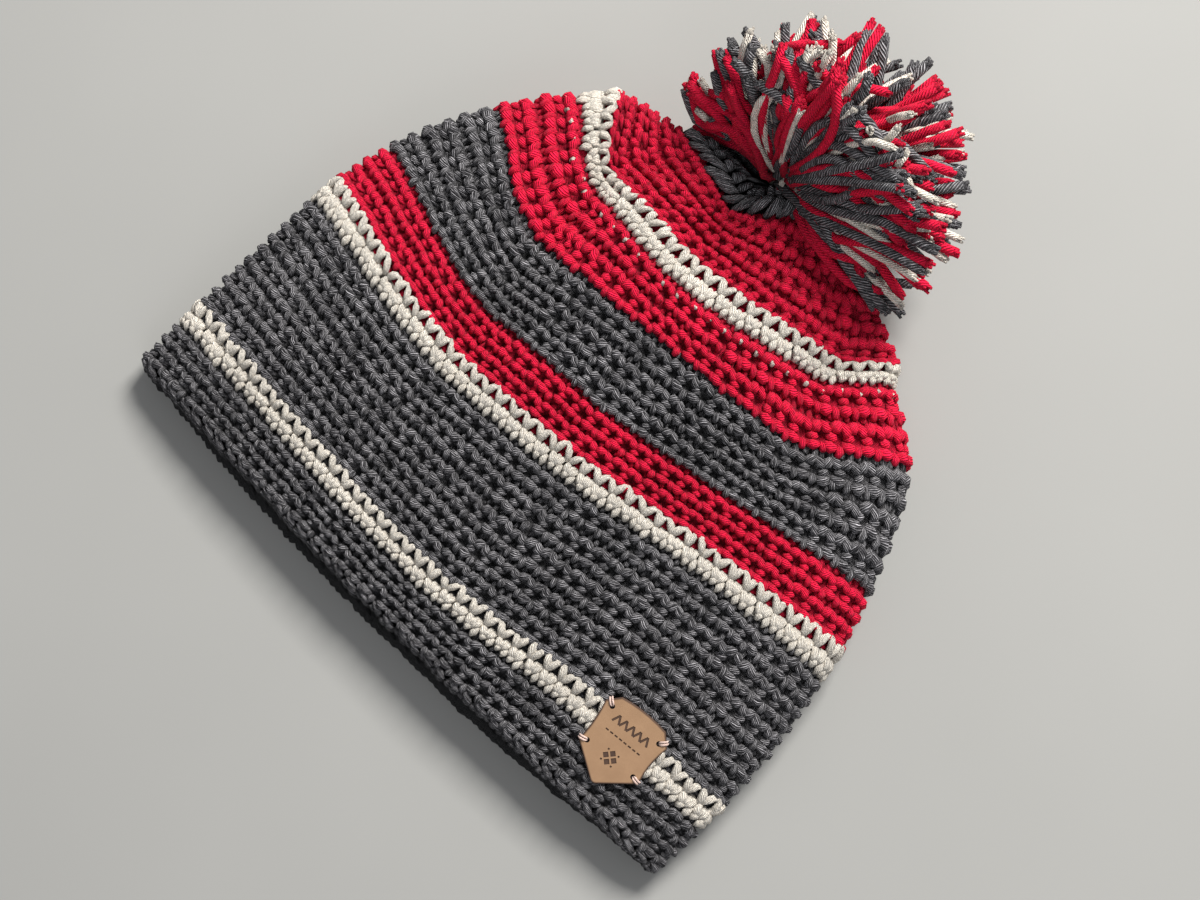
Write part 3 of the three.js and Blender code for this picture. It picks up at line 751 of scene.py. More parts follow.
CREAM_STITCH = {
    "tip": ([(0.80, -0.18, -0.6), (0.80, 0.02, 0.4), (0.80, 0.26, -0.4)], (0.3, 1.30, 1.0)),
    "root": ([(0.32, -0.06, -0.8), (0.32, 0.08, 0.2), (0.32, 0.20, -0.5)], (0.7, 1.35, 1.0)),
    "left_fan": ([(0.26, 0.10, -0.4), (0.12, 0.30, 0.4), (0.02, 0.54, -0.6)], (1.0, 1.45, 1.0)),
    "middle_fan": ([(0.34, 0.12, -0.4), (0.38, 0.32, 0.3), (0.42, 0.52, -0.8)], (0.9, 1.35, 0.9)),
    "right_fan": ([(0.42, 0.10, -0.5), (0.60, 0.30, 0.3), (0.76, 0.52, -0.6)], (0.9, 1.40, 1.0)),
    "arch": (
        [(-0.02, 0.46, -0.7), (0.12, 0.78, 0.7), (0.43, 1.02, 0.5), (0.75, 0.82, 0.9), (0.95, 0.48, -0.7)],
        (1.0, 1.40, 0.95, 1.40, 1.0),
    ),
}
GATHER_STITCH = {
    "outer": ([(-0.30, -0.14, -0.8), (0.28, 0.12, 1.7), (0.95, 0.42, -0.6)], (1.3, 2.20, 1.3)),
    "inner": ([(0.85, 0.46, -0.6), (0.35, 0.70, 1.3), (-0.20, 0.98, -1.0)], (1.2, 2.05, 1.1)),
    "middle": ([(0.10, 0.95, -1.4), (0.40, 1.20, 0.0), (0.70, 1.60, -2.0)], (1.2, 1.80, 0.9)),
}
# Specks of cream show in the groove under the highest stripe
CREAM_DOT = {
    "dot": ([(0.24, -0.47, -1.2), (0.28, -0.40, 0.4), (0.32, -0.33, -1.2)], (0.4, 0.9, 0.4)),
}

# %% Model each stitch once
def make_stitch(name, bits):
    """A stitch from its bits of yarn, flat on the ground."""
    lengths = []
    for bit, (points, radii) in bits.items():
        flat = [(u * PITCH, v * RIB, height) for u, v, height in points]
        lengths.append(yarn_length(f"{name}_{bit}", flat, radii))
    stitch = join_pieces(name, lengths)
    bpy.ops.object.shade_smooth()
    print(name, "has", len(stitch.data.polygons), "faces")
    return stitch


plain_stitch = make_stitch("plain_stitch", STITCH)
cream_stitch = make_stitch("cream_stitch", CREAM_STITCH)
cream_dot = make_stitch("cream_dot", CREAM_DOT)
gather_stitch = make_stitch("gather_stitch", GATHER_STITCH)

# %% [markdown]
# A round is one turn of stitches around the hat. Each could be placed on its own, but an Array
# modifier repeats the modelled one in a single step. Handmade stitches are never alike, so
# each copy is then moved, turned and swollen by a small seeded amount, and its yarn starts at
# another place of the material.

# %% Copies of one model
YARN_STARTS = 40  # cm of yarn, along which each copy's own bit is taken
dice = np.random.default_rng(7)


def copies_of(model, name, count, step):
    """Copies of a model in one mesh, each a step in mm further along x."""
    select_only(model)
    bpy.ops.object.duplicate()
    piece = bpy.context.object
    piece.name = piece.data.name = name
    array = piece.modifiers.new("copies", "ARRAY")
    array.count = count
    array.use_relative_offset = False
    array.use_constant_offset = True
    array.constant_offset_displace = (step * MM, 0, 0)
    bpy.ops.object.modifier_apply(modifier="copies")
    return piece


def vary_yarn(piece, count):
    """Each copy's yarn starts at another place of the material."""
    uv = read_uv(piece).reshape(count, -1, 2)
    uv[..., 0] += dice.uniform(0, YARN_STARTS, (count, 1))
    write_uv(piece, uv)


# %% A round of stitches
STITCH_SWELL = 0.05  # share of its size
STITCH_TURN = 0.09  # radians
STITCH_SHIFT = (0.22, 0.22, 0.12)  # mm


def stitch_round(name, stitch, count, loose=1.0):
    """A flat round of stitches, each a little different."""
    piece = copies_of(stitch, name, count, PITCH)
    points = mesh_points(piece).reshape(count, -1, 3)
    centre = points.mean(axis=1, keepdims=True)
    size = 1 + dice.normal(0, STITCH_SWELL * loose, (count, 1, 3))
    turn = dice.normal(0, STITCH_TURN * loose, (count, 1))
    arm = (points - centre) * size
    turned = arm.copy()
    turned[..., 0] = arm[..., 0] * np.cos(turn) - arm[..., 1] * np.sin(turn)
    turned[..., 1] = arm[..., 0] * np.sin(turn) + arm[..., 1] * np.cos(turn)
    shift = dice.normal(0, 1, (count, 1, 3)) * STITCH_SHIFT * loose * MM
    set_mesh_points(piece, (centre + turned + shift).reshape(-1, 3))
    vary_yarn(piece, count)
    return piece


# %% [markdown]
# Between the bits of yarn that stand out, the cloth is closed by the yarn's own turns, except
# for one deep hole in each stitch and the groove after each rib. More lengths of yarn could
# fill it, where nobody would see them. So a fine flat grid takes that relief from two soft
# dents, and lies just under the stitches.

# %% The cloth between the stitches
WEB_DEPTH = 1.2  # mm below the outer face
WEB_COLUMNS, WEB_ROWS = 4, 7  # faces to a stitch, and to a rib
HOLE = {"at": (0.82, 0.36), "width": 0.20, "height": 0.15, "depth": 1.6}
GROOVE = {"at": 0.87, "height": 0.10, "depth": 1.0}
CLOTH_UV = (10, 6)  # mm to a unit of the material, along the round and across it


def flat_grid(name, count, lower, upper, columns, rows, depth):
    """A flat grid as long as that many stitches, between two heights counted in ribs."""
    width, height = PITCH * count, RIB * (upper - lower)
    select_only()
    bpy.ops.mesh.primitive_grid_add(
        x_subdivisions=columns, y_subdivisions=rows, size=1, calc_uvs=True,
        location=(width / 2 * MM, RIB * (lower + upper) / 2 * MM, -depth * MM),
    )
    grid = bpy.context.object
    grid.name = grid.data.name = name
    grid.scale = (width * MM, height * MM, 1)
    bpy.ops.object.transform_apply(location=True, rotation=False, scale=True)
    write_uv(grid, read_uv(grid) * (width / CLOTH_UV[0], height / CLOTH_UV[1]))
    return grid


def from_nearest(places, at):
    """How far places are from the nearest repeat of one place, which comes once in each unit."""
    return (places - at + 0.5) % 1 - 0.5


def web_round(name, count, lower=0.0, upper=1.0):
    """The flat web behind a round, between two shares of its rib, with holes and a groove."""
    rows = round(WEB_ROWS * (upper - lower))
    web = flat_grid(name, count, lower, upper, count * WEB_COLUMNS, rows, depth=0)
    points = mesh_points(web)
    u, v = points[:, 0] / (PITCH * MM), points[:, 1] / (RIB * MM)
    beside_hole = from_nearest(u, HOLE["at"][0]) / HOLE["width"]
    above_hole = (v - HOLE["at"][1]) / HOLE["height"]
    hole = np.exp(-beside_hole ** 2 - above_hole ** 2)
    groove = np.exp(-(from_nearest(v, GROOVE["at"]) / GROOVE["height"]) ** 2)
    points[:, 2] = -(WEB_DEPTH + hole * HOLE["depth"] + groove * GROOVE["depth"]) * MM
    set_mesh_points(web, points)
    return web


# %% [markdown]
# Under the web is the cloth's own thickness, which shows inside the hem. Solidify could give
# the web a back, but the inner face is smooth and needs far fewer faces. So a coarse flat grid
# is extruded to the cloth's thickness, loses its two end faces and is laid on the hat, where
# its ends meet and are merged.

# %% The cloth behind the stitches
SLAB_DEPTH = 2.9  # mm below the outer face, under the deepest holes
SLAB_COLUMNS, SLAB_ROWS = 2, 2  # faces to a stitch, and to a rib
END_MERGE = 0.00002  # m


def cloth_slab(name, start, end, count):
    """The closed ring of cloth under a band, laid on the hat."""
    rows = max(2, round((end - start) * SLAB_ROWS))
    slab = flat_grid(name, count, 0, end - start, count * SLAB_COLUMNS, rows, SLAB_DEPTH)
    bpy.ops.object.mode_set(mode="EDIT")
    bpy.ops.mesh.select_all(action="SELECT")
    bpy.ops.mesh.extrude_region_move(
        TRANSFORM_OT_translate={"value": (0, 0, -(WALL - SLAB_DEPTH) * MM)}
    )
    bpy.ops.mesh.select_all(action="SELECT")
    bpy.ops.mesh.normals_make_consistent(inside=False)
    bpy.ops.mesh.select_all(action="DESELECT")
    bpy.ops.object.mode_set(mode="OBJECT")
    for face in slab.data.polygons:
        face.select = abs(face.normal.x) > 0.9
    bpy.ops.object.mode_set(mode="EDIT")
    bpy.ops.mesh.delete(type="FACE")
    bpy.ops.object.mode_set(mode="OBJECT")
    # Laid on the hat, the slab lies deeper than the holes, so its material paints it with the darkest
    # shade.
    lay_on_hat(slab, count, start)
    bpy.ops.object.mode_set(mode="EDIT")
    bpy.ops.mesh.select_all(action="SELECT")
    bpy.ops.mesh.remove_doubles(threshold=END_MERGE)
    bpy.ops.object.mode_set(mode="OBJECT")
    bpy.ops.object.shade_smooth()
    return slab


# %% [markdown]
# The bands run from the hem to the crown, each in its own yarn. All could be one piece with
# three materials, but the frame has a node for each, so each is a piece too. The table counts
# the stitches around each of a band's ribs: 84 at the hem, fewer where the hat narrows. The
# rounds lean a little as they are worked, so each starts a bit further on than the one below.

# %% The bands of the hat
CHAIN_RIBS = 0.35  # the hem's edge chain, as a share of a rib
HEM_STITCHES = 84
BANDS = [
    {"node": "hem_band", "yarn": "charcoal", "stitches": [HEM_STITCHES] * 2},
    {"node": "cream_stripe_low", "yarn": "cream", "stitches": [84]},
    {"node": "charcoal_band", "yarn": "charcoal", "stitches": [84] * 5},
    {"node": "cream_stripe_middle", "yarn": "cream", "stitches": [84]},
    {"node": "red_band_low", "yarn": "red", "stitches": [82, 80]},
    {"node": "charcoal_band_high", "yarn": "charcoal", "stitches": [78, 74, 71]},
    {"node": "red_band_high", "yarn": "red", "stitches": [66, 60]},
    {"node": "cream_stripe_high", "yarn": "cream", "stitches": [56]},
    {"node": "crown_red", "yarn": "red", "stitches": [50, 44, 36]},
]

ribs_so_far = CHAIN_RIBS
for band in BANDS:
    band["from"] = ribs_so_far
    ribs_so_far += len(band["stitches"])
print("the bands end at rib", round(ribs_so_far, 2), "and the gather starts at", GATHER_FROM)

# %% The parts of one band
LEAN_PER_RIB = 0.12  # of a stitch
ARCH_FROM = 0.57  # of a cream rib: the next colour shows through its arches from here on
DOT_LOOSENESS = 1.6


def lay_round(piece, count, start):
    """Lays a round on the hat where the lean of the rounds below has brought it."""
    lay_on_hat(piece, count, start, turn=LEAN_PER_RIB * start)
    return piece


def make_band(band, below):
    """The parts of one band. The band below may be cream, whose arches stand over this one."""
    is_cream = band["yarn"] == "cream"
    stitch, web_top = (cream_stitch, ARCH_FROM) if is_cream else (plain_stitch, 1.0)
    parts = []
    if below and below["yarn"] == "cream":
        count = below["stitches"][-1]
        under = web_round("web_under_arches", count, lower=ARCH_FROM)
        parts.append(lay_round(under, count, below["from"]))
    for k, count in enumerate(band["stitches"]):
        start = band["from"] + k
        parts.append(lay_round(stitch_round("round", stitch, count), count, start))
        parts.append(lay_round(web_round("web", count, upper=web_top), count, start))
    if band["node"] == "cream_stripe_high":
        count = band["stitches"][0]
        dots = stitch_round("cream_dots", cream_dot, count, loose=DOT_LOOSENESS)
        parts.append(lay_round(dots, count, band["from"]))
    start = 0 if band["node"] == "hem_band" else band["from"]
    end = band["from"] + len(band["stitches"])
    parts.append(cloth_slab("slab", start, end, max(band["stitches"])))
    return parts


def stand_for(piece, node):
    """The piece rides on the hat and takes the place of the frame's node."""
    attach(piece, "root")
    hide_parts(node)
    piece.data.calc_loop_triangles()
    print(piece.name, len(piece.data.loop_triangles), "triangles")


# %% [markdown]
# The hem ends in a chain of slanted loops. Seen from the front, one bit of yarn to a loop would
# do, but the mouth shows from below as well. So each loop has a bit on the outside, two over
# the rim and one on the inside, and the edge looks like a laid rope from all sides.

# %% The hem's edge chain, and all bands
CHAIN_LOOP = {
    "outside": ([(-0.10, 0.31, -1.1), (0.30, 0.20, -0.2), (0.70, 0.08, -1.0)], (0.9, 1.35, 1.1)),
    "rim": ([(0.30, 0.10, -1.3), (0.62, 0.04, -2.5), (0.95, 0.10, -3.7)], (1.2, 1.5, 1.1)),
    "rim_filler": ([(-0.18, 0.11, -1.3), (0.12, 0.05, -2.5), (0.42, 0.10, -3.7)], (1.1, 1.45, 1.0)),
    "inside": ([(0.60, 0.08, -3.9), (0.95, 0.20, -4.4), (1.30, 0.32, -3.9)], (0.9, 1.2, 0.8)),
}
chain_loop = make_stitch("chain_loop", CHAIN_LOOP)

for band, below in zip(BANDS, [None, *BANDS]):
    parts = make_band(band, below)
    if band["node"] == "hem_band":
        chain = stitch_round("hem_chain", chain_loop, HEM_STITCHES)
        parts.append(lay_round(chain, HEM_STITCHES, 0))
    crochet = join_pieces(f"{band['node']}_crochet", parts)
    crochet.data.materials.append(stitch_yarns[band["yarn"]])
    stand_for(crochet, band["node"])


# %% [markdown]
# The gather closes the crown: a charcoal round is drawn together, so its stitches are thick and
# slant to and fro like a braid. Laid like the bands, they would shrink to petals towards the
# middle. Drawn yarn keeps its size, so how far a stitch reaches towards the middle is counted
# in mm and divided by the way there.

# %% The crown's gather
GATHER_STITCHES = 32
GATHER_REACH = 0.94  # of the way to the middle
GATHER_LOOSENESS = 1.2
GATHER_SLAB = {"ribs": 0.99, "stitches": 20}
# Painted shade: between these heights over the outer face, the gather's stitches fade from the darkest
# painted shade to none.
GATHER_PAINTED_SHADE_FULL, GATHER_PAINTED_SHADE_NONE = -2.0, 1.0  # mm over the outer face


def lay_on_gather(piece, count):
    """Wraps a flat round of stitches round the gather, from its edge inwards."""
    flat = mesh_points(piece) / MM
    share = flat[:, 0] / (PITCH * count)
    edge = grid_sample(grid_outer, np.full(len(flat), GATHER_FROM), share)
    to_middle = np.linalg.norm(edge - grid_outer[-1].mean(axis=0), axis=1)
    inwards = np.clip(flat[:, 1] / to_middle, 0, GATHER_REACH)
    ribs = GATHER_FROM + inwards + np.clip(flat[:, 1] / RIB, None, 0)
    placed = grid_sample(grid_outer, ribs, share)
    placed += grid_sample(outward, ribs, share) * flat[:, 2:]
    set_mesh_points(piece, placed * MM)
    # Painted shade: lower points of the gather are painted darker.
    painted_light_share = (flat[:, 2] - GATHER_PAINTED_SHADE_FULL) / (GATHER_PAINTED_SHADE_NONE - GATHER_PAINTED_SHADE_FULL)
    keep_attribute(piece, "painted_light", np.clip(painted_light_share, 0, 1))


gather_round = stitch_round("gather_round", gather_stitch, GATHER_STITCHES, GATHER_LOOSENESS)
lay_on_gather(gather_round, GATHER_STITCHES)
gather_end = GATHER_FROM + GATHER_SLAB["ribs"]
gather_slab = cloth_slab("gather_slab", GATHER_FROM, gather_end, GATHER_SLAB["stitches"])
gather = join_pieces("crown_gather_crochet", [gather_round, gather_slab])
gather.data.materials.append(stitch_yarns["charcoal"])
stand_for(gather, "crown_gather")

# %% [markdown]
# The pompom is a bundle of cut yarn, tied in its middle over the gather and fluffed into a
# ball. A hair system could grow it, but its strands lie loose, cross each other and show their
# frayed ends. So one cut strand is modelled straight, as a tube of yarn whose end frays into
# thin threads, and its copies are then bent along paths from the tie to places on a ball.

# %% One cut strand
STRAND_LENGTH = 50  # mm, with its frayed end
STRAND_RADIUS = 1.65
STRAND_TUBE = [(0, 0, 0), (16, 0, 0), (32, 0, 0), (48, 0, 0)]
TUBE_SWELL = (0.9, 1, 1, 1.05)  # shares of its radius, from the tie to the cut
FRAY = {"threads": 5, "from": 46, "radii": (0.75, 0.85, 0.65)}
FRAY_START, FRAY_STEP = 0.3, 2.4  # radians


def make_strand():
    tube_radii = [STRAND_RADIUS * swell for swell in TUBE_SWELL]
    parts = [yarn_length("strand_tube", STRAND_TUBE, tube_radii, steps=3)]
    for k in range(FRAY["threads"]):
        angle = k * math.tau / FRAY["threads"] + FRAY_START
        side, up = math.cos(angle), math.sin(angle)
        reach = STRAND_LENGTH - 0.8 + 0.8 * math.sin(k * FRAY_STEP)
        fray = [
            (FRAY["from"], side * 0.7, up * 0.7),
            (FRAY["from"] + 2, side * 0.9, up * 0.9),
            (reach, side * 1.05, up * 1.05),
        ]
        parts.append(yarn_length(f"fray_{k}", fray, FRAY["radii"], steps=1, roundness=0))
    strand = join_pieces("cut_strand", parts)
    bpy.ops.object.shade_smooth()
    print("cut strand has", len(strand.data.polygons), "faces")
    return strand


cut_strand = make_strand()

# %% [markdown]
# Strands lie against the crown and the ground without passing through them. A simulation of
# hundreds of strands would take minutes and differ with every change, so each path is cleared
# in code. It is pushed out of the crown, found by the nearest place of the form's grid and its
# outward direction, kept behind the pompom's front, which leans back from the crown, and
# lifted off the ground. Strands still pass through each other here and there.

# %% Where strands may go
POMPOM_CENTRE = np.array([3.0, 140.0, 41.0])
POMPOM_FLATNESS = 0.84  # its height, as a share of its width
POMPOM_FRONT = np.array([-2.0, 129.0, 38.0])
FRONT_LEAN = 0.54  # mm back for each mm up
FRONT_TURN = -0.05  # mm back for each mm across
CROWN_FROM = 11  # in ribs: strands reach down to here
ROW_STEP, COLUMN_STEP = 3, 8  # a part of the grid's places is enough
GROUND_GAP = 0.3  # mm

crown_rows = range(int(CROWN_FROM / GRID_STEP), len(grid_ribs), ROW_STEP)
crown_places = grid_outer[crown_rows][:, ::COLUMN_STEP].reshape(-1, 3)
crown_outward = outward[crown_rows][:, ::COLUMN_STEP].reshape(-1, 3)
crown_tree = KDTree(len(crown_places))
for k, crown_place in enumerate(crown_places):
    crown_tree.insert(crown_place, k)
crown_tree.balance()
print("crown:", len(crown_places), "places")


def off_crown(point):
    """How far a point is outside the crown, and which way is out."""
    _, nearest, _ = crown_tree.find(point)
    direction = crown_outward[nearest]
    return np.dot(point - crown_places[nearest], direction), direction


def front_at(points):
    """The y of the pompom's front where the points are."""
    across, _, up = np.moveaxis(points - POMPOM_FRONT, -1, 0)
    return POMPOM_FRONT[1] + across * FRONT_TURN + up * FRONT_LEAN


def clear_path(path, room):
    """The path, moved out of the crown, behind the front and up from the ground."""
    cleared = path.copy()
    for k, point in enumerate(path):
        outside, direction = off_crown(point)
        if outside < room:
            cleared[k] = point + direction * (room - outside)
    cleared[:, 1] = np.maximum(cleared[:, 1], front_at(cleared) + room - STRAND_RADIUS)
    cleared[:, 2] = np.maximum(cleared[:, 2], STRAND_RADIUS + GROUND_GAP)
    return cleared


# %% The path of one strand
TIE = np.array([-7.0, 135.0, 34.0])
TIE_RADIUS = 4
TIE_SPREAD = 2.0
PATH_STEPS = 12
LEAST_ROOM, MOST_ROOM = 0.5, 9  # mm over the crown


def strand_path(direction, tip, wander):
    """A bent path from the tie to a tip, which leaves the tie in one direction."""
    start = TIE + direction * TIE_RADIUS + dice.normal(0, TIE_SPREAD, 3)
    straight = tip - start
    length = np.linalg.norm(straight)
    side, other_side = unit(np.cross(straight, dice.normal(0, 1, (2, 3))))
    first = start + (straight * 0.2 + direction * length * 0.2) + side * length * wander
    second = start + straight * 0.7 + (side * 0.4 + other_side * 0.6) * length * wander
    t = np.linspace(0, 1, PATH_STEPS)[:, None]
    from_tie = (1 - t) ** 3 * start + 3 * t * (1 - t) ** 2 * first
    path = from_tie + 3 * t * t * (1 - t) * second + t ** 3 * tip
    return clear_path(path, STRAND_RADIUS + dice.uniform(LEAST_ROOM, MOST_ROOM))


# %% Bend the straight strand along a path
LONGEST_STRAND = 58
AHEAD = 1.5  # mm to either side, to find the path's direction
SIDEWAYS = (0.3, -0.5, 0.8)  # any direction that few strands have


def lay_along(points, path, thickness, twist):
    """Mesh points of the straight strand, in mm, moved onto a path."""
    lengths = np.concatenate([[0], np.cumsum(np.linalg.norm(np.diff(path, axis=0), axis=1))])
    at = np.clip(points[:, 0] / STRAND_LENGTH, 0, 1) * min(lengths[-1], LONGEST_STRAND)

    def path_at(distances):
        return np.stack([np.interp(distances, lengths, path[:, k]) for k in range(3)], axis=1)

    tangent = unit(path_at(at + AHEAD) - path_at(at - AHEAD))
    first = unit(np.cross(tangent, np.cross(path[-1] - path[0], SIDEWAYS)))
    second = np.cross(tangent, first)
    y = points[:, 1] * math.cos(twist) - points[:, 2] * math.sin(twist)
    z = points[:, 1] * math.sin(twist) + points[:, 2] * math.cos(twist)
    return path_at(at) + (first * y[:, None] + second * z[:, None]) * thickness


# %% [markdown]
# Cut ends show all over the ball. Random directions would leave bald spots, so they are spread
# evenly by the golden angle and then stray a little. Long strands form the outside, and
# shorter ones between them fill the middle. On the side of the crown no strand can stand out,
# so more of them fan out along the front, and some flop over it. Red is the most frequent
# yarn, then charcoal, and the cream one is thinner.

# %% Where the strands end
STRAND_KINDS = [
    {"yarn": "red", "share": 0.44, "thickness": 1.0},
    {"yarn": "charcoal", "share": 0.34, "thickness": 1.0},
    {"yarn": "cream", "share": 0.22, "thickness": 0.78},
]
STRAND_LAYERS = [
    {"count": 430, "reach": 54, "spread": 4.0, "stray": 0.14, "bend": 0.22},
    {"count": 220, "reach": 41, "spread": 5.0, "stray": 0.25, "bend": 0.34},
]
UPRIGHT_BEND = 0.8  # how much more those that stand up bend
FAN = {"count": 84, "past_level": 0.15, "reach": (34, 53), "bend": 0.34}
FAN_FROM = POMPOM_FRONT + (0, 3, 0)
FLOPPED = {"count": 44, "past_level": 0.4, "reach": (38, 56), "bend": 0.38}
FAR_SIDE = np.array([-0.7, 0.7, 0])  # tips reach a little further there
FAR_REACH = 3.5
TIP_ROOM = {"ground": -6, "front": -6, "crown": -3}  # mm, a little is mended by the path


def ball_directions(count):
    """Directions that are spread evenly over a ball, from its top to its bottom."""
    k = np.arange(count)
    height = 1 - 2 * (k + 0.5) / count
    angle = k * np.pi * (3 - np.sqrt(5))
    level = np.sqrt(1 - height ** 2)
    return np.stack([level * np.cos(angle), level * np.sin(angle), height], axis=1)


def ball_tip(direction, reach):
    return POMPOM_CENTRE + direction * reach * (1, 1, POMPOM_FLATNESS)


def is_free(tip):
    """Whether a tip lies about clear of the ground, the pompom's front and the crown."""
    if tip[2] < TIP_ROOM["ground"] or tip[1] < front_at(tip) + TIP_ROOM["front"]:
        return False
    return off_crown(tip)[0] > TIP_ROOM["crown"]


# %% The paths of all strands
strand_paths = {kind["yarn"]: [] for kind in STRAND_KINDS}


def draw_yarn():
    """The list of paths of a yarn that is drawn by its share."""
    drawn = dice.choice(len(STRAND_KINDS), p=[kind["share"] for kind in STRAND_KINDS])
    return strand_paths[STRAND_KINDS[drawn]["yarn"]]


for layer in STRAND_LAYERS:
    for direction in ball_directions(layer["count"]):
        upward = max(0, direction[2])
        stray = dice.normal(0, layer["stray"] * (1 + upward), 3)
        tip_direction = (direction + stray) / np.linalg.norm(direction + stray)
        reach = layer["reach"] - abs(dice.normal(0, layer["spread"]))
        reach += FAR_REACH * max(0, FAR_SIDE @ tip_direction)
        tip = ball_tip(tip_direction, reach)
        if is_free(tip):
            paths = draw_yarn()
            wander = dice.normal(0, layer["bend"] * (1 + UPRIGHT_BEND * upward))
            paths.append(strand_path(direction, tip, wander))
front_up = np.array([0, FRONT_LEAN, 1]) / math.hypot(FRONT_LEAN, 1)
for _ in range(FAN["count"]):
    angle = dice.uniform(-FAN["past_level"], math.pi + FAN["past_level"])
    ahead = front_up * math.sin(angle) + (math.cos(angle), 0, 0)
    tip = FAN_FROM + ahead * dice.uniform(*FAN["reach"])
    draw_yarn().append(strand_path(ahead, tip, dice.normal(0, FAN["bend"])))
for _ in range(FLOPPED["count"]):
    angle = dice.uniform(-FLOPPED["past_level"], math.pi + FLOPPED["past_level"])
    sideways = np.array([math.cos(angle), math.sin(angle), 0])
    rising = sideways * 0.35 + (0, 0.2, 1) + dice.normal(0, 0.3, 3)
    tip_direction = sideways * dice.uniform(0.35, 0.75) + (0, 0, 0.68)
    tip = ball_tip(tip_direction, dice.uniform(*FLOPPED["reach"]))
    draw_yarn().append(strand_path(rising * 2, tip, dice.normal(0, FLOPPED["bend"])))
for yarn_name, paths in strand_paths.items():
    print(len(paths), "strands of", yarn_name)


# %% The pompom
FULL_TURN = 6  # radians, about once around
# Painted shade: strands are painted darker near the tie, deep inside the ball.
LIT_FROM = 28  # mm from the tie: strands are darker inside the ball
STRAND_PAINTED_LIGHT = 0.75


def bend_strands(name, paths, thickness):
    """All strands of one yarn as one mesh."""
    piece = copies_of(cut_strand, name, len(paths), 0)
    points = mesh_points(piece).reshape(len(paths), -1, 3) / MM
    bent = []
    for strand, path in zip(points, paths):
        bent.append(lay_along(strand, path, thickness, dice.uniform(0, FULL_TURN)))
    set_mesh_points(piece, np.concatenate(bent) * MM)
    vary_yarn(piece, len(paths))
    # Painted shade inside the ball, fading out with the distance from the tie.
    from_tie = np.linalg.norm(mesh_points(piece) / MM - TIE, axis=1)
    keep_attribute(piece, "painted_light", np.clip(from_tie / LIT_FROM, 0, 1) * STRAND_PAINTED_LIGHT)
    return piece


for kind in STRAND_KINDS:
    yarn_name = kind["yarn"]
    strands = bend_strands(f"pompom_{yarn_name}_strands", strand_paths[yarn_name], kind["thickness"])
    strands.data.materials.append(strand_yarns[yarn_name])
    stand_for(strands, "pompom")


# %% [markdown]
# The single stitches and the strand were only models. They could stay hidden, but nothing needs
# them any more, so they are removed.

# %% Remove the models
for model in (plain_stitch, cream_stitch, cream_dot, gather_stitch, chain_loop, cut_strand):
    bpy.data.objects.remove(model)

# %% [markdown]
# Leather that is cut and engraved by a laser keeps its tan face, with a fine grain, and turns
# dark brown wherever the beam burnt it: along the edge, in the holes and in the engraved marks.
# One material with a mask could do both, but a mask blurs between points. So the face has one
# material, which darkens towards the rim by an attribute, and what is burnt has its own.

# %% Materials of the label
LEATHER_COLOURS = (0.212, 0.119, 0.060), (0.335, 0.202, 0.110)
STREAK_COLOUR = (0.240, 0.136, 0.070)
RIM_COLOUR = (0.055, 0.025, 0.013)
BURNT_COLOURS = (0.025, 0.012, 0.007), (0.080, 0.038, 0.020)


def leather_material():
    material, tree, shader = new_material("label_leather")
    place = tree.nodes.new("ShaderNodeTexCoord").outputs["Object"]
    grain = tree.nodes.new("ShaderNodeTexVoronoi")
    grain.feature = "DISTANCE_TO_EDGE"
    set_sockets(grain, Scale=2400.0)
    tree.links.new(place, grain.inputs["Vector"])
    cloud = add_noise(tree, place, scale=150.0, detail=5.0)
    streaks = add_math(tree, "MULTIPLY", add_noise(tree, place, scale=900.0, detail=2.0), 0.6)
    colour = mix_colours(tree, cloud, *LEATHER_COLOURS)
    colour = mix_colours(tree, streaks, colour, STREAK_COLOUR)
    colour = mix_colours(tree, read_attribute(tree, "burn"), colour, RIM_COLOUR)
    tree.links.new(colour, shader.inputs["Base Color"])
    add_bump(tree, shader, grain.outputs["Distance"], strength=0.35, distance=0.0001)
    set_sockets(shader, Roughness=0.52)
    return material


def burnt_material():
    material, tree, shader = new_material("label_burnt")
    place = tree.nodes.new("ShaderNodeTexCoord").outputs["Object"]
    soot = add_noise(tree, place, scale=700.0, detail=3.0)
    tree.links.new(mix_colours(tree, soot, *BURNT_COLOURS), shader.inputs["Base Color"])
    set_sockets(shader, Roughness=0.8)
    return material


# %% [markdown]
# The label is cut from a flat sheet: its outline is extruded, and two insets make a soft rim
# and the burnt border beside it. Its marks could be drawn in the material, but they are really
# cut into the leather, so they and the holes are cut away in one go by a set of thin tools.
# The marks are plain ornament: a row of chevrons like stitches, a dashed line, and four
# diamonds with dots between them.

# %% Tools for the label's holes and marks
ENGRAVED = 0.22  # mm, depth of the marks
HOLE_RADIUS = 0.9
HOLES = [
    {"at": (-9.6, 9.1), "to": (-0.73, 0.68)},
    {"at": (9.4, 9.1), "to": (0.73, 0.68)},
    {"at": (9.6, -4.3), "to": (0.98, -0.20)},
    {"at": (-9.2, -4.3), "to": (-0.98, -0.20)},
]
CHEVRONS = {"count": 5, "apart": 2.8, "y": 7.0, "bar": (3.1, 0.75), "aside": 0.66, "angle": 65}
DASHES = {"count": 8, "apart": 1.8, "y": 2.4, "bar": (1.15, 0.5)}
DIAMONDS = {"y": -4.2, "from_middle": 1.6, "bar": (1.7, 1.7), "angle": 45}
DOTS = {"from_middle": 2.0, "bar": (0.6, 0.6)}
TOOL_HEIGHT = 2


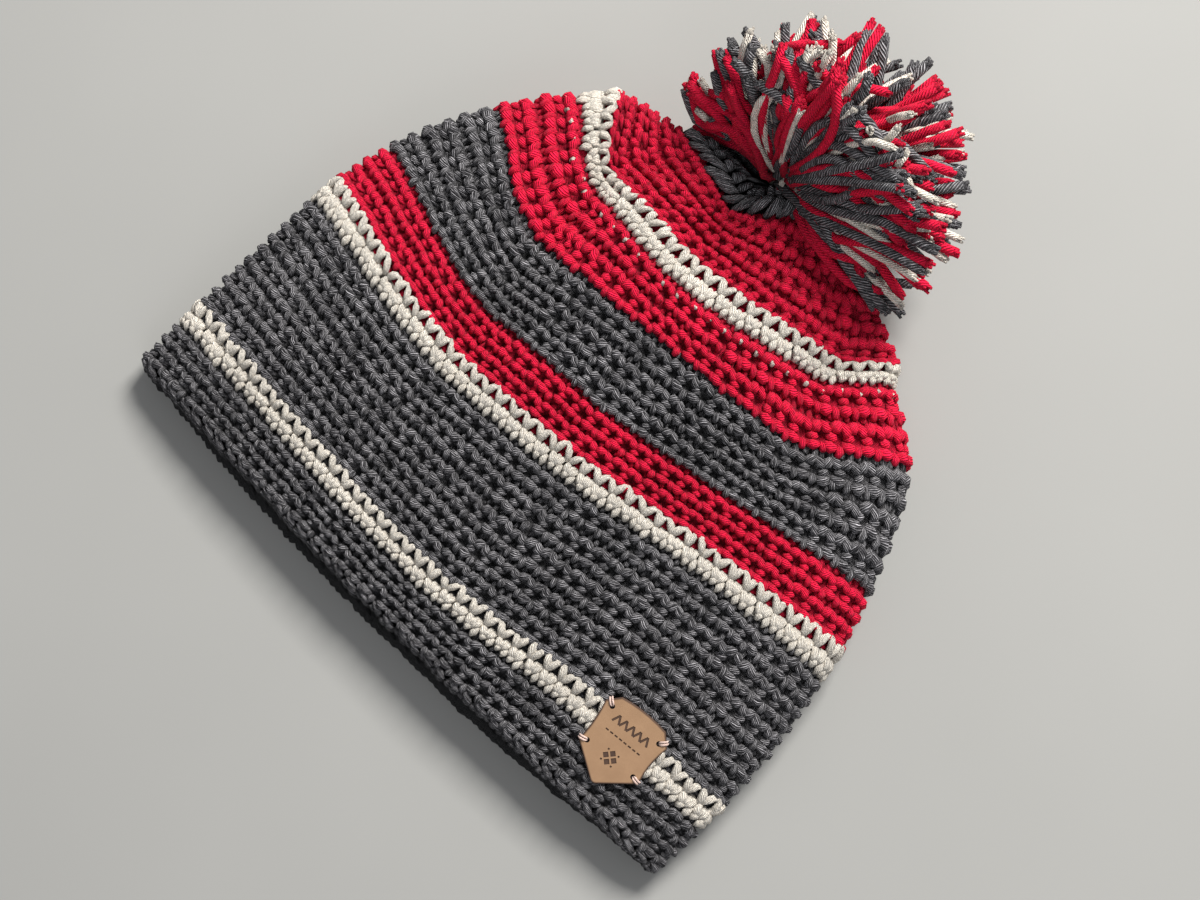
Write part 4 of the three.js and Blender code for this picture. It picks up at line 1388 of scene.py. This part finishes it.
def engraving_bar(x, y, bar, angle=0):
    """A flat tool, as long and wide as the bar, whose tip reaches as deep as a mark."""
    select_only()
    bpy.ops.mesh.primitive_cube_add(
        size=1, scale=(bar[0] * MM, bar[1] * MM, TOOL_HEIGHT * MM),
        location=(x * MM, y * MM, (LABEL_THICKNESS - ENGRAVED + TOOL_HEIGHT / 2) * MM),
        rotation=(0, 0, math.radians(angle)),
    )
    return bpy.context.object


def row_places(row):
    """The x of each mark in a row about the label's middle."""
    return [(k - (row["count"] - 1) / 2) * row["apart"] for k in range(row["count"])]


def label_tools():
    tools = []
    for hole in HOLES:
        select_only()
        bpy.ops.mesh.primitive_cylinder_add(
            vertices=16, radius=HOLE_RADIUS * MM, depth=3 * TOOL_HEIGHT * MM,
            location=(hole["at"][0] * MM, hole["at"][1] * MM, 0),
        )
        tools.append(bpy.context.object)
    for x in row_places(CHEVRONS):
        for way in (-1, 1):
            leg_x, angle = x + way * CHEVRONS["aside"], -way * CHEVRONS["angle"]
            tools.append(engraving_bar(leg_x, CHEVRONS["y"], CHEVRONS["bar"], angle))
    for x in row_places(DASHES):
        tools.append(engraving_bar(x, DASHES["y"], DASHES["bar"]))
    for x, y in ((0, 1), (0, -1), (1, 0), (-1, 0)):
        out, dot_out = DIAMONDS["from_middle"], DOTS["from_middle"]
        middle_y = DIAMONDS["y"]
        tools.append(engraving_bar(x * out, y * out + middle_y, DIAMONDS["bar"], DIAMONDS["angle"]))
        tools.append(engraving_bar((x + y) * dot_out, (y - x) * dot_out + middle_y, DOTS["bar"]))
    return join_pieces("label_tools", tools)


# %% Cut the label
RIM = 0.25  # mm, width and height of the soft rim
BORDER = 0.45


def distance_to_outline(points):
    """How far points of the label's plane lie from its outline."""
    starts = label_outline()
    sides = np.roll(starts, -1, axis=0) - starts
    along = np.sum((points[:, None] - starts) * sides, axis=2) / np.sum(sides ** 2, axis=1)
    nearest = starts + sides * np.clip(along, 0, 1)[..., None]
    return np.linalg.norm(points[:, None] - nearest, axis=2).min(axis=1)


def cut_label():
    outline = label_outline()
    select_only()
    bpy.ops.mesh.primitive_circle_add(vertices=len(outline), radius=MM, fill_type="NGON")
    label = bpy.context.object
    label.name = label.data.name = "leather_label_cut"
    set_mesh_points(label, np.pad(outline, ((0, 0), (0, 1))) * MM)
    bpy.ops.object.mode_set(mode="EDIT")
    bpy.ops.mesh.select_all(action="SELECT")
    bpy.ops.mesh.extrude_region_move(
        TRANSFORM_OT_translate={"value": (0, 0, (LABEL_THICKNESS - RIM) * MM)}
    )
    bpy.ops.mesh.inset(thickness=RIM * MM)
    bpy.ops.transform.translate(value=(0, 0, RIM * MM))
    bpy.ops.mesh.inset(thickness=BORDER * MM)
    bpy.ops.mesh.select_all(action="SELECT")
    bpy.ops.mesh.normals_make_consistent(inside=False)
    bpy.ops.object.mode_set(mode="OBJECT")
    tools = label_tools()
    select_only(label)
    cut = label.modifiers.new("cut", "BOOLEAN")
    cut.operation, cut.object, cut.solver, cut.use_self = "DIFFERENCE", tools, "EXACT", True
    bpy.ops.object.modifier_apply(modifier="cut")
    bpy.data.objects.remove(tools)
    from_edge = distance_to_outline(mesh_points(label)[:, :2] / MM)
    keep_attribute(label, "burn", (from_edge < RIM + BORDER / 2).astype(float))
    return label


# %% The label
UNDERSIDE_HEIGHT = 0.1  # mm, up to which a flat face is the label's underside


def colour_label(label):
    """The face and the underside keep their leather; what the beam cut is burnt."""
    label.data.materials.clear()
    label.data.materials.append(leather_material())
    label.data.materials.append(burnt_material())
    for face in label.data.polygons:
        flat = abs(face.normal.z) > 0.99
        on_face = face.center.z > (LABEL_THICKNESS - ENGRAVED / 2) * MM
        beneath = face.center.z < UNDERSIDE_HEIGHT * MM
        face.material_index = 0 if flat and (on_face or beneath) else 1


def place_on_hat(piece):
    """Moves a piece from the label's flat plane to where the label lies."""
    piece.matrix_world = Matrix.Translation(label_place * MM) @ label_turn.to_matrix().to_4x4()
    select_only(piece)
    bpy.ops.object.transform_apply(location=True, rotation=True, scale=True)


label = cut_label()
colour_label(label)
place_on_hat(label)
stand_for(label, "leather_label")

# %% [markdown]
# The label is sewn on through its four holes. Two lengths of pale sewing thread come out of
# each hole and dive into the cloth beyond the label's edge. One thick thread would do from
# afar, but the pair is what shows that a needle went through twice.

# %% The sewing threads
THREAD_RADIUS = 0.35
THREAD_ASIDE = 0.42  # mm beside the hole's middle line
THREAD_END_HEIGHT = 0.2
SEWING_YARN = {
    "dark": (0.55, 0.38, 0.32), "light": (0.84, 0.66, 0.59),
    "least_light": 0.5, "painted_hole_shade": 1.0, "sheen": 0.1,
}


def sewing_thread(name, hole, aside):
    """From the hole over the edge, beside the hole's middle line."""
    at, to = np.array(hole["at"]), np.array(hole["to"])
    beside = np.array([-to[1], to[0]]) * aside
    start, rise = at + beside * 0.6, at + to * 0.8 + beside
    edge, end = at + to * 2.2 + beside, at + to * 2.9 + beside
    top = LABEL_THICKNESS
    points = [(*start, top - 0.9), (*rise, top + 0.2), (*edge, top + 0.15), (*end, THREAD_END_HEIGHT)]
    return yarn_length(name, points, [THREAD_RADIUS] * len(points), steps=3)


sewn = []
for k, hole in enumerate(HOLES):
    for aside in (-THREAD_ASIDE, THREAD_ASIDE):
        sewn.append(sewing_thread(f"thread_{k}_{aside}", hole, aside))
threads = join_pieces("label_threads", sewn)
# The sewing threads get no painted shade.
keep_attribute(threads, "painted_light", np.ones(len(threads.data.vertices)))
place_on_hat(threads)
bpy.ops.object.shade_smooth()
threads.data.materials.append(yarn_material("sewing_thread", SEWING_YARN, SEWING_TWIST))
stand_for(threads, "leather_label")

# %% [markdown]
# Last, the sizes of the CAD model and of the dressed one are written down. The difference could
# be judged by eye in a render, but numbers show a strand that stands out too far.

# %% Finish
visual_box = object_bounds()
for box_name, box in (("CAD", cad_box), ("visual", visual_box)):
    print(box_name, "box in mm", [[round(v / MM, 1) for v in corner] for corner in box])
